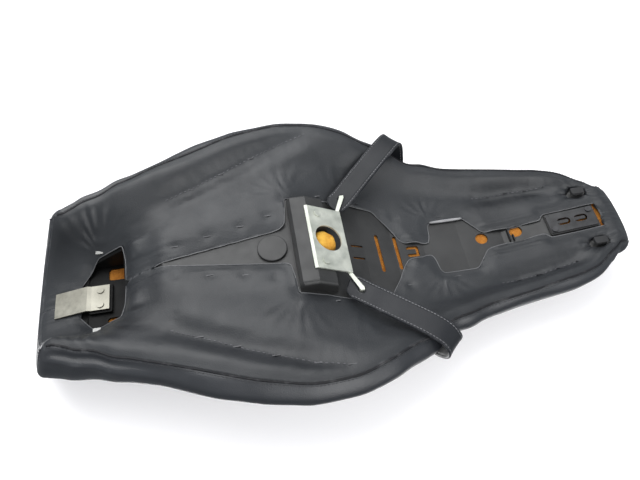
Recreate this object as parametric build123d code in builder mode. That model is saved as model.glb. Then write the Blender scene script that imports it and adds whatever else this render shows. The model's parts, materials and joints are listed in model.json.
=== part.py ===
from build123d import *
import os
from math import cos, hypot, radians, sin

os.makedirs("parts", exist_ok=True)

# Two-up motorcycle seat, millimetres. Cushion up is +Z, the nose points to -Y and X is the width,
# with the rider's left at +X.
# Dimensions are laid out from a datum on the centre plane, level with the strap hooks. The saved
# parts are moved so that the origin is the centre of the bracket's locating hole.

SKIN = 1.3  # vinyl cover thickness
PAN_GAP = 2.0  # depth of the pan's outer face below the cover's outer face
PAN_WALL = 2.5
FOAM_DEPTH = 5.8  # depth of the foam's surface below the cover's outer face
MITRE_LIMIT = 1.6  # longest reach of a drawn-in corner, as a share of the depth
PAN_EDGE_MARK = 3.5  # place of the pan's edge along a half outline
FOAM_ROOM = 0.6  # clearance moulded into the foam round the pan's raised parts
NOSE_RADIUS = 11.0
TAIL_RADIUS = 14.0
ROUNDING_STEPS = (30, 55)  # degrees round the nose and tail edges
CROSS_SEAM_FRONT, CROSS_SEAM_REAR = 108.0, 108.4  # rider and pillion panels meet under the strap
SEAM_MARK, CROWN_MARK = 4, 9  # places along a half outline
SEAM_GAP = 0.4
FAR = 140.0  # beyond the seat in Z
BAND_STEPS = 8

# Cross-sections from nose to tail, +X half, each on a plane at y tipped forward by lean degrees:
# y, lean, tunnel crown z, tunnel edge, flank, stitched seam, widest bulge, shoulder, top crown z.
STATIONS = [
    (-332, 24, 60, (38, 51), (66, 12), (87, -20), (105, -4), (88, 48), 86),
    (-290, 16, 50, (40, 43), (73, 4), (103, -24.5), (118, -12), (98, 46), 83),
    (-250, 8, 18, (34, 14), (78, -12), (119, -28), (131, -20), (108, 40), 76),
    (-205, 0, -12, (34, -14), (88, -14), (133, -32), (145, -24), (121, 34), 67),
    (-160, 0, -12, (38, -17), (106, -15), (149, -31.5), (167, -24), (138, 30), 60),
    (-110, 0, -12, (45, -18), (127, -15), (168, -33), (183, -25), (152, 27), 55),
    (-50, 0, -12, (60, -18), (150, -18), (181, -29), (194, -24), (160, 27), 52),
    (0, 0, 8, (66, 5), (148, -17), (177, -25), (190, -19), (155, 30), 54),
    (40, 0, 27, (68, 24), (130, -6), (160, -20), (175, -15), (144, 35), 60),
    (80, 0, 38, (64, 35), (108, 14), (141, -5), (153, 1), (126, 44), 68),
    (120, 0, 42, (50, 40), (88, 28), (117, 9), (125, 15), (103, 54), 76),
    (170, 0, 42, (44, 41), (74, 36), (102, 14), (109, 21), (89, 60), 82),
    (225, 0, 39, (40, 39), (68, 37), (94, 14), (99, 23), (81, 62), 84),
    (280, 0, 26, (34, 28), (60, 29), (83, 14), (91, 21), (74, 60), 82),
    (320, 0, 21, (30, 22), (50, 22), (73, 14), (81, 22), (65, 56), 75),
    (345, 0, 16, (20, 16), (40, 16), (56, 16), (67, 25), (54, 52), 66),
    (358, 0, 14, (16, 14), (32, 14.5), (45, 17), (55, 27), (44, 47), 57),
]

# Hinge line through the two strap hooks, along X
HOOK_X, HOOK_Y = 67.0, 21.0

STRAP_WIDTH, STRAP_THICK = 32.0, 3.5
STRAP_HOLE_R = 4.0
# The +X half of the strap from its end to the crown: centre point, then direction across its width
STRAP_PATH = [
    ((56, 10, 0.5), (-0.73, 0.68, 0)),
    ((67, 21, 0), (-0.73, 0.68, 0)),
    ((100, 56, -8.5), (-0.73, 0.68, 0)),
    ((128, 86, -15), (-0.72, 0.69, 0)),
    ((142, 100, -15), (-0.71, 0.7, 0)),
    ((151, 108, -7), (-0.7, 0.71, 0)),
    ((151, 109.5, 9), (-0.68, 0.73, 0)),
    ((135, 109, 42), (-0.55, 0.83, 0)),
    ((112, 108, 65), (-0.35, 0.94, 0)),
    ((84, 108, 73.5), (-0.2, 0.98, 0)),
    ((50, 108, 78.5), (-0.08, 1, 0)),
]
STRAP_CROWN = ((0, 108, 80.5), (0, 1, 0))

# Raised box across the pan that carries the strap bracket
BOX_HALF = 63.0
BOX_FRONT, BOX_REAR = -50.0, -6.0
BOX_FACE_Z = -26.5
BOX_CHAMFER = 4.0
BOX_TOP_Z = (-9.0, -6.0, 5.0)  # top of the box at its front wall, at the bend and at its rear wall
BOX_BEND_Y = -27.0
BOX_END_RADIUS, BOX_END_Z = 5.0, -17.0  # rounding of the box's ends, on the edges lower than this
SLOPE_DEG = 30.0

SHEET = 2.0
BRACKET_HALF = 44.5
BRACKET_LIP = 3.0
BRACKET_RUN = 47.0
BRACKET_GAP = 0.45
LOCATING_R = 18.0  # round hole in the bracket's sloping face
LOCATING_RUN = 22.0
LOCATING_PAN_ROOM = 1.0  # how much larger the pan's own hole is
BRACKET_RIVET_PLACES = [(34, 12), (-34, 12)]
BRACKET_RIVET_LENGTH = 9.0
BEND_OUTER = 0.27  # how far the bend's outer corner moves back, in sheet thicknesses
TANG_TIP_Z = 2.5
TANG_TIP_WIDTH = 5.0
# +X tang in plan, from the bracket's rear edge out to the hook
TANG_PLAN = [(36, 9), (BRACKET_HALF, 9), (69, 19.5), (69, 24), (65.5, 24), (44, 13.5), (36, 13.5)]

PLUG_Y, PLUG_R, PLUG_STEM_R = -75.0, 17.0, 14.0
PLUG_TOP_Z, PLUG_FACE_Z, PLUG_FLANGE = -7.4, -13.2, 1.2

# Pocket in the nose that holds the steel tongue
POCKET_HALF, POCKET_FRONT, POCKET_REAR = 46.0, -309.0, -258.0
POCKET_FLOOR_Z = 52.0
TONGUE_HALF, TONGUE_THICK = 17.0, 2.5
TONGUE_SEAT_Z = 47.5
TONGUE_PAD = (40.0, 28.0, 7.0)  # block under the tongue: across, along, deep
TONGUE_PAD_Y = -293.0
TONGUE_TIP = (-350.0, 54.6)
TONGUE_TOP_Z = TONGUE_SEAT_Z - 0.2
TONGUE_REAR_Y = -282.0
TONGUE_JOGGLE = (-305.0, -309.5, 1.6)  # where the upper face's step starts and ends, and its depth
RIVET_R, RIVET_HEAD_R, RIVET_HEAD = 2.4, 4.5, 1.4
RIVET_X = 10.0
HEAD_GAP = 0.1  # air under a rivet or screw head
BACKING = (38.0, 22.0, 1.5)
BACKING_GAP = 0.5
RIVET_WELL_R, RIVET_WELL_TOP = 25.0, 62.0  # hollow in the foam over the tongue's rivets

# Windows through the pan
LONG_SLOT_X, LONG_SLOT_Y, LONG_SLOT = 9.0, 31.0, (16.0, 2.8)
CROSS_SLOTS = [(60.0, 56.0), (84.0, 50.0)]  # y and length
CROSS_SLOT_WIDTH = 4.6
SNAP_Y, SNAP_HOLE, SNAP_TONGUE = 104.5, (16.0, 16.0), (7.0, 12.0)
ROUND_WINDOWS = (198.0, 243.0)
ROUND_WINDOW_X, ROUND_WINDOW_R = 4.5, 8.0
CHANNEL_RIBS = (232.0, 237.0)
CHANNEL_RIB, CHANNEL_RIB_Z = (17.0, 1.4, 7.0), 34.0
FOAM_WINDOW = (17.0, 24.0)
FOAM_WINDOW_X, FOAM_WINDOW_Y = 35.0, -273.0

# Slotted steel plate let into the tail
PLATE_Y, PLATE_Z, PLATE_TILT = 312.0, 20.6, -8.0
PLATE_SIZE = (28.0, 60.0, 1.6)
PLATE_CORNER = 2.0
PLATE_PAD = (31.0, 62.0, 2.6)  # the pan's flat seat for the plate: across, along, deep
PLATE_PAD_GAP = 0.2
PLATE_WINDOW = (13.0, 44.0)
PLATE_WELL = (33.0, 64.0, 5.0, 16.0)  # hollow in the foam: across, along, start below, depth
PLATE_SLOT, PLATE_FINGER, PLATE_FINGER_SHIFT = (17.0, 10.0), (15.0, 4.5), 1.5
PLATE_SCREW_X, PLATE_SCREW_Y = 9.5, 25.0
PLATE_SLOTS = (-10.0, 12.0)
SCREW_R, SCREW_HEAD_R, SCREW_HEAD, SCREW_LENGTH = 2.0, 3.8, 1.6, 8.0
HOLE_ROOM = 0.2

BUMPER_X, BUMPER_Y = 39.0, 333.0
BUMPER = (9.0, 17.0)
BUMPER_FACE_Z, BUMPER_TOP_Z, BUMPER_STEM_R, BUMPER_STEM_Z = 12.0, 16.6, 2.5, 25.0

STAPLE_CROWN, STAPLE_WIRE, STAPLE_LEG = 9.0, 0.9, 3.4
RIDER_CREASE = [(89, -199), (102, -167), (120, -128), (138, -87), (154, -45), (163, -10)]
PILLION_CREASE = [(66, 200), (65, 225), (64, 250), (61, 275), (59, 300)]
CENTRE_EDGE = [(20, -190), (27, -150), (34, -110), (44, -75), (76, -10), (72, 40), (50, 88), (46, 150)]
CLIP_X, CLIP_Y, CLIP = 55.0, -290.0, (7.0, 9.0, 2.0)

# Half outlines of the openings in the lower cover, x and y, from front to rear
NOSE_OPENING = [(0, -318), (22, -318), (50, -294), (49, -255), (0, -255)]
MAIN_OPENING = [
    (0, -222), (24, -62), (32, -54), (67, -53), (68, -20), (72, 20), (63, 62), (40, 78), (18, 90),
    (12, 96), (12, 114), (9, 118), (9, 130), (39, 133), (39, 180), (12, 202), (10, 277),
    (18, 278), (18, 345), (0, 345),
]
EYE, EYE_TOP_Z = (7.5, 12.0), 45.0


def half_outline(station):
    """The +X half of one section, from the tunnel crown round the flank to the top crown."""
    _, _, tunnel_z, edge, flank, seam, bulge, shoulder, top_z = station
    tunnel = (0.25 * edge[0], tunnel_z - 0.06 * (tunnel_z - edge[1]))
    upper = (0.6 * shoulder[0], top_z - 0.26 * (top_z - shoulder[1]))
    crown = (0.25 * shoulder[0], top_z - 0.04 * (top_z - shoulder[1]))
    return [(0, tunnel_z), tunnel, edge, flank, seam, bulge, shoulder, upper, crown, (0, top_z)]


def heading(start, end):
    """Unit direction from one point to the next."""
    length = hypot(end[0] - start[0], end[1] - start[1])
    return (end[0] - start[0]) / length, (end[1] - start[1]) / length


def drawn_in(points, depth):
    """Half outline moved inward by a depth, with mitred corners."""
    start = (-points[1][0], points[1][1])
    end = (-points[-2][0], points[-2][1])
    padded = [start] + list(points) + [end]
    moved = []
    for before, here, after in zip(padded, points, padded[2:]):
        arriving, leaving = heading(before, here), heading(here, after)
        across, up = arriving[0] + leaving[0], arriving[1] + leaving[1]
        length = hypot(across, up)
        reach = depth * min(2 / length, MITRE_LIMIT)
        moved.append((here[0] - up / length * reach, here[1] + across / length * reach))
    return moved


def station_plane(y, lean):
    tip = radians(lean)
    return Plane(origin=(0, y, 0), x_dir=(1, 0, 0), z_dir=(0, -cos(tip), -sin(tip)))


def rounded_end(station, radius, direction, depth):
    """Sections that carry the seat round its nose or tail edge."""
    room = radius - depth
    ends = []
    for degrees in ROUNDING_STEPS:
        sink = room * (1 - cos(radians(degrees)))
        y = station[0] + direction * room * sin(radians(degrees))
        ends.append((y, station[1], drawn_in(half_outline(station), depth + sink)))
    return ends


def all_sections(depth):
    """Plane position and half outline of every section, nose edge to tail edge."""
    middle = [(s[0], s[1], drawn_in(half_outline(s), depth)) for s in STATIONS]
    nose = rounded_end(STATIONS[0], NOSE_RADIUS, -1, depth)
    tail = rounded_end(STATIONS[-1], TAIL_RADIUS, 1, depth)
    return nose[::-1] + middle + tail


def in_plane(points, lean):
    """Half outline in the coordinates of a tipped section plane."""
    return [(x, z / cos(radians(lean))) for x, z in points]


def envelope(depth):
    """Whole seat as one closed body, drawn in from the outer skin."""
    with BuildPart() as body:
        for y, lean, points in all_sections(depth):
            local = in_plane(points, lean)
            with BuildSketch(station_plane(y, lean)):
                with BuildLine():
                    Spline(*local)
                    Line(local[-1], local[0])
                make_face()
        loft(ruled=True)
        mirror(about=Plane.YZ)
    return body.part


def stretch(points, first, last):
    """Points along the outline's curve between two of its marks; marks may be fractional."""
    with BuildLine() as curve:
        Spline(*points)
    edge = curve.line.edge()
    marks = [edge.param_at_point(Vector(*point)) for point in points] + [1.0]
    start = marks[int(first)] + (first % 1) * (marks[int(first) + 1] - marks[int(first)])
    end = marks[int(last)] + (last % 1) * (marks[int(last) + 1] - marks[int(last)])
    steps = [start + (end - start) * step / BAND_STEPS for step in range(BAND_STEPS + 1)]
    return [((edge @ step).X, (edge @ step).Y) for step in steps]


def band(first, last, depth, thickness, front=-FAR * 4, rear=FAR * 4):
    """The +X half of a shell that covers the outline between two marks, over a run of stations."""
    outside = all_sections(depth)
    inside = all_sections(depth + thickness)
    with BuildPart() as body:
        for (y, lean, outer_points), (_, _, inner_points) in zip(outside, inside):
            if not front <= y <= rear:
                continue
            outer = stretch(in_plane(outer_points, lean), first, last)
            inner = stretch(in_plane(inner_points, lean), first, last)
            with BuildSketch(station_plane(y, lean)):
                with BuildLine():
                    Spline(*outer)
                    Line(outer[-1], inner[-1])
                    Spline(*inner[::-1])
                    Line(inner[0], outer[0])
                make_face()
        loft(ruled=True)
    return body.part


def end_cap(section, thickness):
    """Skin over the flat nose or tail face."""
    y, lean, points = section
    local = in_plane(points, lean)
    with BuildPart() as cap:
        with BuildSketch(station_plane(y, lean)):
            with BuildLine():
                Spline(*local)
                Line(local[-1], local[0])
            make_face()
        extrude(amount=thickness)
        mirror(about=Plane.YZ)
    return cap.part


def plan_prism(points, bottom=-FAR, top=FAR):
    """Upright block over a half outline, mirrored to both sides."""
    with BuildPart() as body:
        with BuildSketch(Plane.XY.offset(bottom)):
            Polygon(*points, align=None)
            mirror(about=Plane.YZ)
        extrude(amount=top - bottom)
    return body.part


def box_profile(room):
    """Side view of the raised box as y and z; room makes it larger all round."""
    slope_end = BOX_FACE_Z + (BOX_REAR - BOX_BEND_Y) * sin(radians(SLOPE_DEG)) / cos(radians(SLOPE_DEG))
    return [
        (BOX_FRONT - room, BOX_TOP_Z[0] + room),
        (BOX_FRONT - room, BOX_FACE_Z + BOX_CHAMFER - room),
        (BOX_FRONT + BOX_CHAMFER - room, BOX_FACE_Z - room),
        (BOX_BEND_Y, BOX_FACE_Z - room),
        (BOX_REAR + room, slope_end - room),
        (BOX_REAR + room, BOX_TOP_Z[2] + room),
        (BOX_BEND_Y, BOX_TOP_Z[1] + room),
    ]


def box_body(room):
    with BuildPart() as body:
        with BuildSketch(Plane.YZ.offset(-BOX_HALF - room)):
            Polygon(*box_profile(room), align=None)
        extrude(amount=2 * (BOX_HALF + room))
        ends = body.faces().sort_by(Axis.X)
        for end in (ends[0], ends[-1]):
            lower = [edge for edge in end.edges() if edge.center().Z < BOX_END_Z]
            fillet(lower, BOX_END_RADIUS)
    return body.part


def slope_plane():
    """Plane of the box's sloping face; its Y runs rearward and its Z points into the seat."""
    tip = radians(SLOPE_DEG)
    origin = (0, BOX_BEND_Y, BOX_FACE_Z)
    return Plane(origin=origin, x_dir=(1, 0, 0), z_dir=(0, -sin(tip), cos(tip)))


def plate_plane():
    """Plane of the tail plate's upper face."""
    tip = radians(PLATE_TILT)
    return Plane(origin=(0, PLATE_Y, PLATE_Z), x_dir=(1, 0, 0), z_dir=(0, -sin(tip), cos(tip)))


def tray_body(room, bottom):
    """Block that surrounds the nose pocket; room makes it larger than the pocket."""
    half, front, rear = POCKET_HALF + room, POCKET_FRONT - room, POCKET_REAR + room
    return plan_prism([(0, front), (half, front), (half, rear), (0, rear)], bottom, POCKET_FLOOR_Z + room)


def base_pan(outer_body):
    """Moulded pan: a shell over the underside with its box, pocket, slots and bosses."""
    shell = band(0, PAN_EDGE_MARK, PAN_GAP, PAN_WALL, STATIONS[0][0], STATIONS[-2][0])
    windows = pan_windows()
    with BuildPart() as pan:
        add(shell)
        mirror(about=Plane.YZ)
        add(tray_body(0, -FAR), mode=Mode.SUBTRACT)
        add(pocket_tray(outer_body))
        add(tongue_pad())
        add(box_body(0))
        add(plate_pad())
        add(channel_ribs())
        add(windows, mode=Mode.SUBTRACT)
    return pan.part


def pocket_tray(outer_body):
    """Floor and walls of the nose pocket, trimmed flush with the pan's outer face."""
    with BuildPart() as tray:
        add(tray_body(PAN_WALL, -FAR))
        add(outer_body, mode=Mode.INTERSECT)
        add(tray_body(0, -FAR), mode=Mode.SUBTRACT)
    return tray.part


def tongue_pad():
    with BuildPart() as pad:
        with BuildSketch(Plane.XY.offset(TONGUE_SEAT_Z)):
            with Locations((0, TONGUE_PAD_Y)):
                RectangleRounded(TONGUE_PAD[0], TONGUE_PAD[1], 2)
        extrude(amount=TONGUE_PAD[2])
    return pad.part


def plate_pad():
    """Flat seat for the tail plate."""
    with BuildPart() as pad:
        with BuildSketch(plate_plane().offset(PLATE_PAD_GAP)):
            RectangleRounded(PLATE_PAD[0], PLATE_PAD[1], PLATE_CORNER)
        extrude(amount=PLATE_PAD[2])
    return pad.part


def channel_ribs():
    """Two low ribs across the centre channel."""
    with BuildPart() as ribs:
        for y in CHANNEL_RIBS:
            with BuildSketch(Plane.XY.offset(CHANNEL_RIB_Z)):
                with Locations((0, y)):
                    Rectangle(CHANNEL_RIB[0], CHANNEL_RIB[1])
            extrude(amount=CHANNEL_RIB[2])
    return ribs.part


def pan_windows():
    """All slots and holes that pass through the pan."""
    with BuildPart() as windows:
        with BuildSketch(Plane.XY.offset(-40)):
            with Locations((LONG_SLOT_X, LONG_SLOT_Y), (-LONG_SLOT_X, LONG_SLOT_Y)):
                SlotOverall(*LONG_SLOT, rotation=90)
            for y, length in CROSS_SLOTS:
                with Locations((0, y)):
                    SlotOverall(length, CROSS_SLOT_WIDTH)
            with Locations((0, SNAP_Y)):
                RectangleRounded(*SNAP_HOLE, 3)
            with Locations((0, SNAP_Y - 2)):
                Rectangle(*SNAP_TONGUE, mode=Mode.SUBTRACT)
            for y in ROUND_WINDOWS:
                with Locations((ROUND_WINDOW_X, y)):
                    Circle(ROUND_WINDOW_R)
            with Locations((FOAM_WINDOW_X, FOAM_WINDOW_Y), (-FOAM_WINDOW_X, FOAM_WINDOW_Y)):
                RectangleRounded(*FOAM_WINDOW, 4)
            with Locations((0, PLATE_Y)):
                Rectangle(*PLATE_WINDOW)
            with Locations((BUMPER_X, BUMPER_Y), (-BUMPER_X, BUMPER_Y)):
                Circle(BUMPER_STEM_R + HOLE_ROOM)
            with Locations((RIVET_X, TONGUE_PAD_Y), (-RIVET_X, TONGUE_PAD_Y)):
                Circle(RIVET_R + HOLE_ROOM)
            with Locations((0, PLUG_Y)):
                Circle(PLUG_STEM_R + HOLE_ROOM)
        extrude(amount=2 * FAR)
        with BuildSketch(slope_plane()):
            with Locations((0, LOCATING_RUN)):
                Circle(LOCATING_R + LOCATING_PAN_ROOM)
        extrude(amount=FAR, both=True)
        with BuildSketch(plate_plane()):
            with Locations(*plate_screw_places()):
                Circle(SCREW_R + HOLE_ROOM)
        extrude(amount=FAR / 4, both=True)
    return windows.part


def plate_screw_places():
    return [(PLATE_SCREW_X, PLATE_SCREW_Y), (-PLATE_SCREW_X, -PLATE_SCREW_Y)]


def upright_pins(places, radius, bottom, top):
    """Cylinders at several places on the plan."""
    with BuildPart() as pins:
        with BuildSketch(Plane.XY.offset(bottom)):
            with Locations(*places):
                Circle(radius)
        extrude(amount=top - bottom)
    return pins.part


def foam_core(body):
    """One moulded cushion, cleared round everything that stands up from the pan."""
    bumpers = [(BUMPER_X, BUMPER_Y), (-BUMPER_X, BUMPER_Y)]
    rivets = [(RIVET_X, TONGUE_PAD_Y), (-RIVET_X, TONGUE_PAD_Y)]
    with BuildPart() as foam:
        add(body)
        add(tray_body(PAN_WALL + FOAM_ROOM, -FAR), mode=Mode.SUBTRACT)
        add(box_body(FOAM_ROOM), mode=Mode.SUBTRACT)
        add(upright_pins([(0, TONGUE_PAD_Y)], RIVET_WELL_R, 0, RIVET_WELL_TOP), mode=Mode.SUBTRACT)
        add(upright_pins(bumpers, BUMPER_STEM_R + 1, 0, BUMPER_STEM_Z + 1), mode=Mode.SUBTRACT)
        with BuildSketch(plate_plane().offset(-PLATE_WELL[2])):
            RectangleRounded(PLATE_WELL[0], PLATE_WELL[1], PLATE_CORNER)
        extrude(amount=PLATE_WELL[3], mode=Mode.SUBTRACT)
    return foam.part


def strap_section_plane(point, across, before, after):
    """Plane square to the strap with its X across the strap's width."""
    tangent = (Vector(*after) - Vector(*before)).normalized()
    side = Vector(*across)
    side = (side - tangent * side.dot(tangent)).normalized()
    return Plane(origin=point, x_dir=side, z_dir=tangent)


def flipped(point, across):
    """The same strap station on the other side."""
    return (-point[0], point[1], point[2]), (-across[0], across[1], across[2])


def grab_strap():
    other = [flipped(*place) for place in STRAP_PATH]
    path = STRAP_PATH + [STRAP_CROWN] + other[::-1]
    with BuildPart() as strap:
        for index, (point, across) in enumerate(path):
            before = path[max(index - 1, 0)][0]
            after = path[min(index + 1, len(path) - 1)][0]
            with BuildSketch(strap_section_plane(point, across, before, after)):
                Rectangle(STRAP_WIDTH, STRAP_THICK)
        loft(ruled=True)
        holes = upright_pins([(HOOK_X, HOOK_Y), (-HOOK_X, HOOK_Y)], STRAP_HOLE_R, -20, 20)
        add(holes, mode=Mode.SUBTRACT)
    return strap.part


def bracket_profile():
    """Side view of the bent bracket sheet as y and z, lip first."""
    rise, run = sin(radians(SLOPE_DEG)), cos(radians(SLOPE_DEG))
    top_z = BOX_FACE_Z - BRACKET_GAP
    lip = (BOX_BEND_Y - BRACKET_LIP, top_z)
    bend = (BOX_BEND_Y + 0.2, top_z)
    rear = (bend[0] + BRACKET_RUN * run, bend[1] + BRACKET_RUN * rise)
    outer_rear = (rear[0] + SHEET * rise, rear[1] - SHEET * run)
    outer_bend = (bend[0] + SHEET * BEND_OUTER, top_z - SHEET)
    return [lip, bend, rear, outer_rear, outer_bend, (lip[0], top_z - SHEET)]


def strap_bracket():
    """Bent steel sheet with a round locating hole and a turned-up tang at each rear corner."""
    profile = bracket_profile()
    tang_z = profile[3][1]
    with BuildPart() as bracket:
        with BuildSketch(Plane.YZ.offset(-BRACKET_HALF)):
            Polygon(*profile, align=None)
        extrude(amount=2 * BRACKET_HALF)
        for side in (1, -1):
            with BuildSketch(Plane.XY.offset(tang_z)):
                Polygon(*[(side * x, y) for x, y in TANG_PLAN], align=None)
            extrude(amount=SHEET)
            with BuildSketch(Plane.XY.offset(tang_z)):
                with Locations((side * HOOK_X, HOOK_Y)):
                    Rectangle(SHEET, TANG_TIP_WIDTH)
            extrude(amount=TANG_TIP_Z - tang_z)
        with BuildSketch(slope_plane()):
            with Locations((0, LOCATING_RUN)):
                Circle(LOCATING_R)
        extrude(amount=BRACKET_RUN / 4, both=True, mode=Mode.SUBTRACT)
        with BuildSketch(slope_plane()):
            with Locations(*BRACKET_RIVET_PLACES):
                Circle(RIVET_R + HOLE_ROOM)
        extrude(amount=BRACKET_RUN / 4, both=True, mode=Mode.SUBTRACT)
    return bracket.part


def bracket_rivets():
    """Two rivets through the bracket into the pan's box."""
    with BuildPart() as rivets:
        with BuildSketch(slope_plane().offset(-BRACKET_GAP - SHEET - HOLE_ROOM)):
            with Locations(*BRACKET_RIVET_PLACES):
                Circle(RIVET_HEAD_R)
        extrude(amount=-RIVET_HEAD)
        with BuildSketch(slope_plane().offset(-BRACKET_GAP - SHEET - HOLE_ROOM)):
            with Locations(*BRACKET_RIVET_PLACES):
                Circle(RIVET_R)
        extrude(amount=BRACKET_RIVET_LENGTH)
    return rivets.part


def front_tongue():
    """Flat steel tongue, joggled below the pad and rising toward the nose."""
    top, bottom = TONGUE_TOP_Z, TONGUE_TOP_Z - TONGUE_THICK
    tip_y, tip_z = TONGUE_TIP
    step_start, step_end, step = TONGUE_JOGGLE
    profile = [
        (TONGUE_REAR_Y, top), (step_start, top), (step_end, top - step), (tip_y, tip_z),
        (tip_y, tip_z - TONGUE_THICK), (step_end + 0.5, bottom - step), (step_start + 1, bottom),
        (TONGUE_REAR_Y, bottom),
    ]
    with BuildPart() as tongue:
        with BuildSketch(Plane.YZ.offset(-TONGUE_HALF)):
            Polygon(*profile, align=None)
        extrude(amount=2 * TONGUE_HALF)
        places = [(RIVET_X, TONGUE_PAD_Y), (-RIVET_X, TONGUE_PAD_Y)]
        add(upright_pins(places, RIVET_R + HOLE_ROOM, 30, 60), mode=Mode.SUBTRACT)
    return tongue.part


def tongue_rivets():
    places = [(RIVET_X, TONGUE_PAD_Y), (-RIVET_X, TONGUE_PAD_Y)]
    face = TONGUE_TOP_Z - TONGUE_THICK - HEAD_GAP
    over = backing_z() + BACKING[2] + HEAD_GAP
    with BuildPart() as rivets:
        add(upright_pins(places, RIVET_HEAD_R, face - RIVET_HEAD, face))
        add(upright_pins(places, RIVET_R, face, over))
        add(upright_pins(places, RIVET_HEAD_R, over, over + RIVET_HEAD))
    return rivets.part


def backing_z():
    return TONGUE_SEAT_Z + TONGUE_PAD[2] + BACKING_GAP


def tongue_backing_plate():
    """Steel plate inside the seat that spreads the tongue's load over the pan."""
    places = [(RIVET_X, TONGUE_PAD_Y), (-RIVET_X, TONGUE_PAD_Y)]
    with BuildPart() as plate:
        with BuildSketch(Plane.XY.offset(backing_z())):
            with Locations((0, TONGUE_PAD_Y)):
                RectangleRounded(BACKING[0], BACKING[1], 3)
            with Locations(*places):
                Circle(RIVET_R + HOLE_ROOM, mode=Mode.SUBTRACT)
        extrude(amount=BACKING[2])
    return plate.part


def rear_slot_plate():
    """Steel plate with two U-shaped slots, each round a short tongue."""
    with BuildPart() as plate:
        with BuildSketch(plate_plane()):
            RectangleRounded(PLATE_SIZE[0], PLATE_SIZE[1], PLATE_CORNER)
            with Locations(*[(0, y) for y in PLATE_SLOTS]):
                SlotOverall(*PLATE_SLOT, rotation=90, mode=Mode.SUBTRACT)
            with Locations(*[(0, y - PLATE_FINGER_SHIFT) for y in PLATE_SLOTS]):
                SlotOverall(*PLATE_FINGER, rotation=90)
            with Locations(*plate_screw_places()):
                Circle(SCREW_R + HOLE_ROOM, mode=Mode.SUBTRACT)
        extrude(amount=-PLATE_SIZE[2])
    return plate.part


def rear_plate_screws():
    with BuildPart() as screws:
        with BuildSketch(plate_plane().offset(-PLATE_SIZE[2] - HEAD_GAP)):
            with Locations(*plate_screw_places()):
                Circle(SCREW_HEAD_R)
        extrude(amount=-SCREW_HEAD)
        with BuildSketch(plate_plane().offset(-PLATE_SIZE[2] - HEAD_GAP)):
            with Locations(*plate_screw_places()):
                Circle(SCREW_R)
        extrude(amount=SCREW_LENGTH)
    return screws.part


def rear_bumpers():
    """Two rubber blocks that rest on the fender, with stems through the pan."""
    places = [(BUMPER_X, BUMPER_Y), (-BUMPER_X, BUMPER_Y)]
    with BuildPart() as bumpers:
        with BuildSketch(Plane.XY.offset(BUMPER_FACE_Z)):
            with Locations(*places):
                RectangleRounded(*BUMPER, 2)
        extrude(amount=BUMPER_TOP_Z - BUMPER_FACE_Z)
        add(upright_pins(places, BUMPER_STEM_R, BUMPER_TOP_Z, BUMPER_STEM_Z))
    return bumpers.part


def pan_plug():
    """Round plug with a broad flange, pressed into the pan's centre."""
    with BuildPart() as plug:
        add(upright_pins([(0, PLUG_Y)], PLUG_R, PLUG_FACE_Z, PLUG_FACE_Z + PLUG_FLANGE))
        add(upright_pins([(0, PLUG_Y)], PLUG_STEM_R, PLUG_FACE_Z + PLUG_FLANGE, PLUG_TOP_Z))
    return plug.part


def underside_z(body, x, y):
    """Height of the seat's lower surface above a point of the plan."""
    hits = body.find_intersection_points(Axis((x, y, -FAR), (0, 0, 1)))
    return min(point.Z for point, _ in hits)


def staples(body, places):
    """Wire staples driven up through the cover at places on both sides of the seat."""
    both = places + [(-x, y) for x, y in places]
    with BuildPart() as group:
        for x, y in both:
            crown_z = underside_z(body, x, y) - STAPLE_WIRE / 2
            with Locations((x, y, crown_z)):
                Box(STAPLE_WIRE, STAPLE_CROWN, STAPLE_WIRE)
            for end in (-1, 1):
                leg_y = y + end * (STAPLE_CROWN - STAPLE_WIRE) / 2
                with Locations((x, leg_y, crown_z + STAPLE_LEG / 2)):
                    Box(STAPLE_WIRE, STAPLE_WIRE, STAPLE_LEG)
    return group.part


def recess_clips(body):
    """Folded steel clips that pinch the cover's edge beside the nose pocket."""
    with BuildPart() as clips:
        for side in (1, -1):
            z = underside_z(body, side * CLIP_X, CLIP_Y)
            with Locations((side * CLIP_X, CLIP_Y, z)):
                Box(*CLIP)
    return clips.part


def eye_openings():
    with BuildPart() as eyes:
        with BuildSketch(Plane.XY):
            with Locations((BUMPER_X, BUMPER_Y), (-BUMPER_X, BUMPER_Y)):
                Ellipse(*EYE)
        extrude(amount=EYE_TOP_Z)
    return eyes.part


def centre_gap():
    """Thin slit along the centre plane that parts the two skirts."""
    return plan_prism([(0, -4 * FAR), (SEAM_GAP / 2, -4 * FAR), (SEAM_GAP / 2, 4 * FAR), (0, 4 * FAR)])


def skirt():
    """The +X half of the lower cover, from the stitched seam in to its openings."""
    sheet = band(0, SEAM_MARK, 0, SKIN)
    with BuildPart() as cover:
        add(sheet)
        add(plan_prism(NOSE_OPENING), mode=Mode.SUBTRACT)
        add(plan_prism(MAIN_OPENING), mode=Mode.SUBTRACT)
        add(eye_openings(), mode=Mode.SUBTRACT)
        add(centre_gap(), mode=Mode.SUBTRACT)
    return cover.part


def upper_cover():
    """Cover over the whole cushion, from seam to seam across the crown."""
    sheet = band(SEAM_MARK, CROWN_MARK, 0, SKIN)
    nose, tail = all_sections(0)[0], all_sections(0)[-1]
    with BuildPart() as cover:
        add(sheet)
        mirror(about=Plane.YZ)
        add(end_cap(nose, SKIN))
        add(end_cap(tail, -SKIN))
    return cover.part


def panel(cover, start, end):
    """Part of the upper cover between two y stations."""
    with BuildPart() as piece:
        add(cover)
        with BuildSketch(Plane.XY.offset(-FAR)):
            Polygon((-2 * FAR, start), (2 * FAR, start), (2 * FAR, end), (-2 * FAR, end), align=None)
        extrude(amount=2 * FAR, mode=Mode.INTERSECT)
    return piece.part


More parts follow.
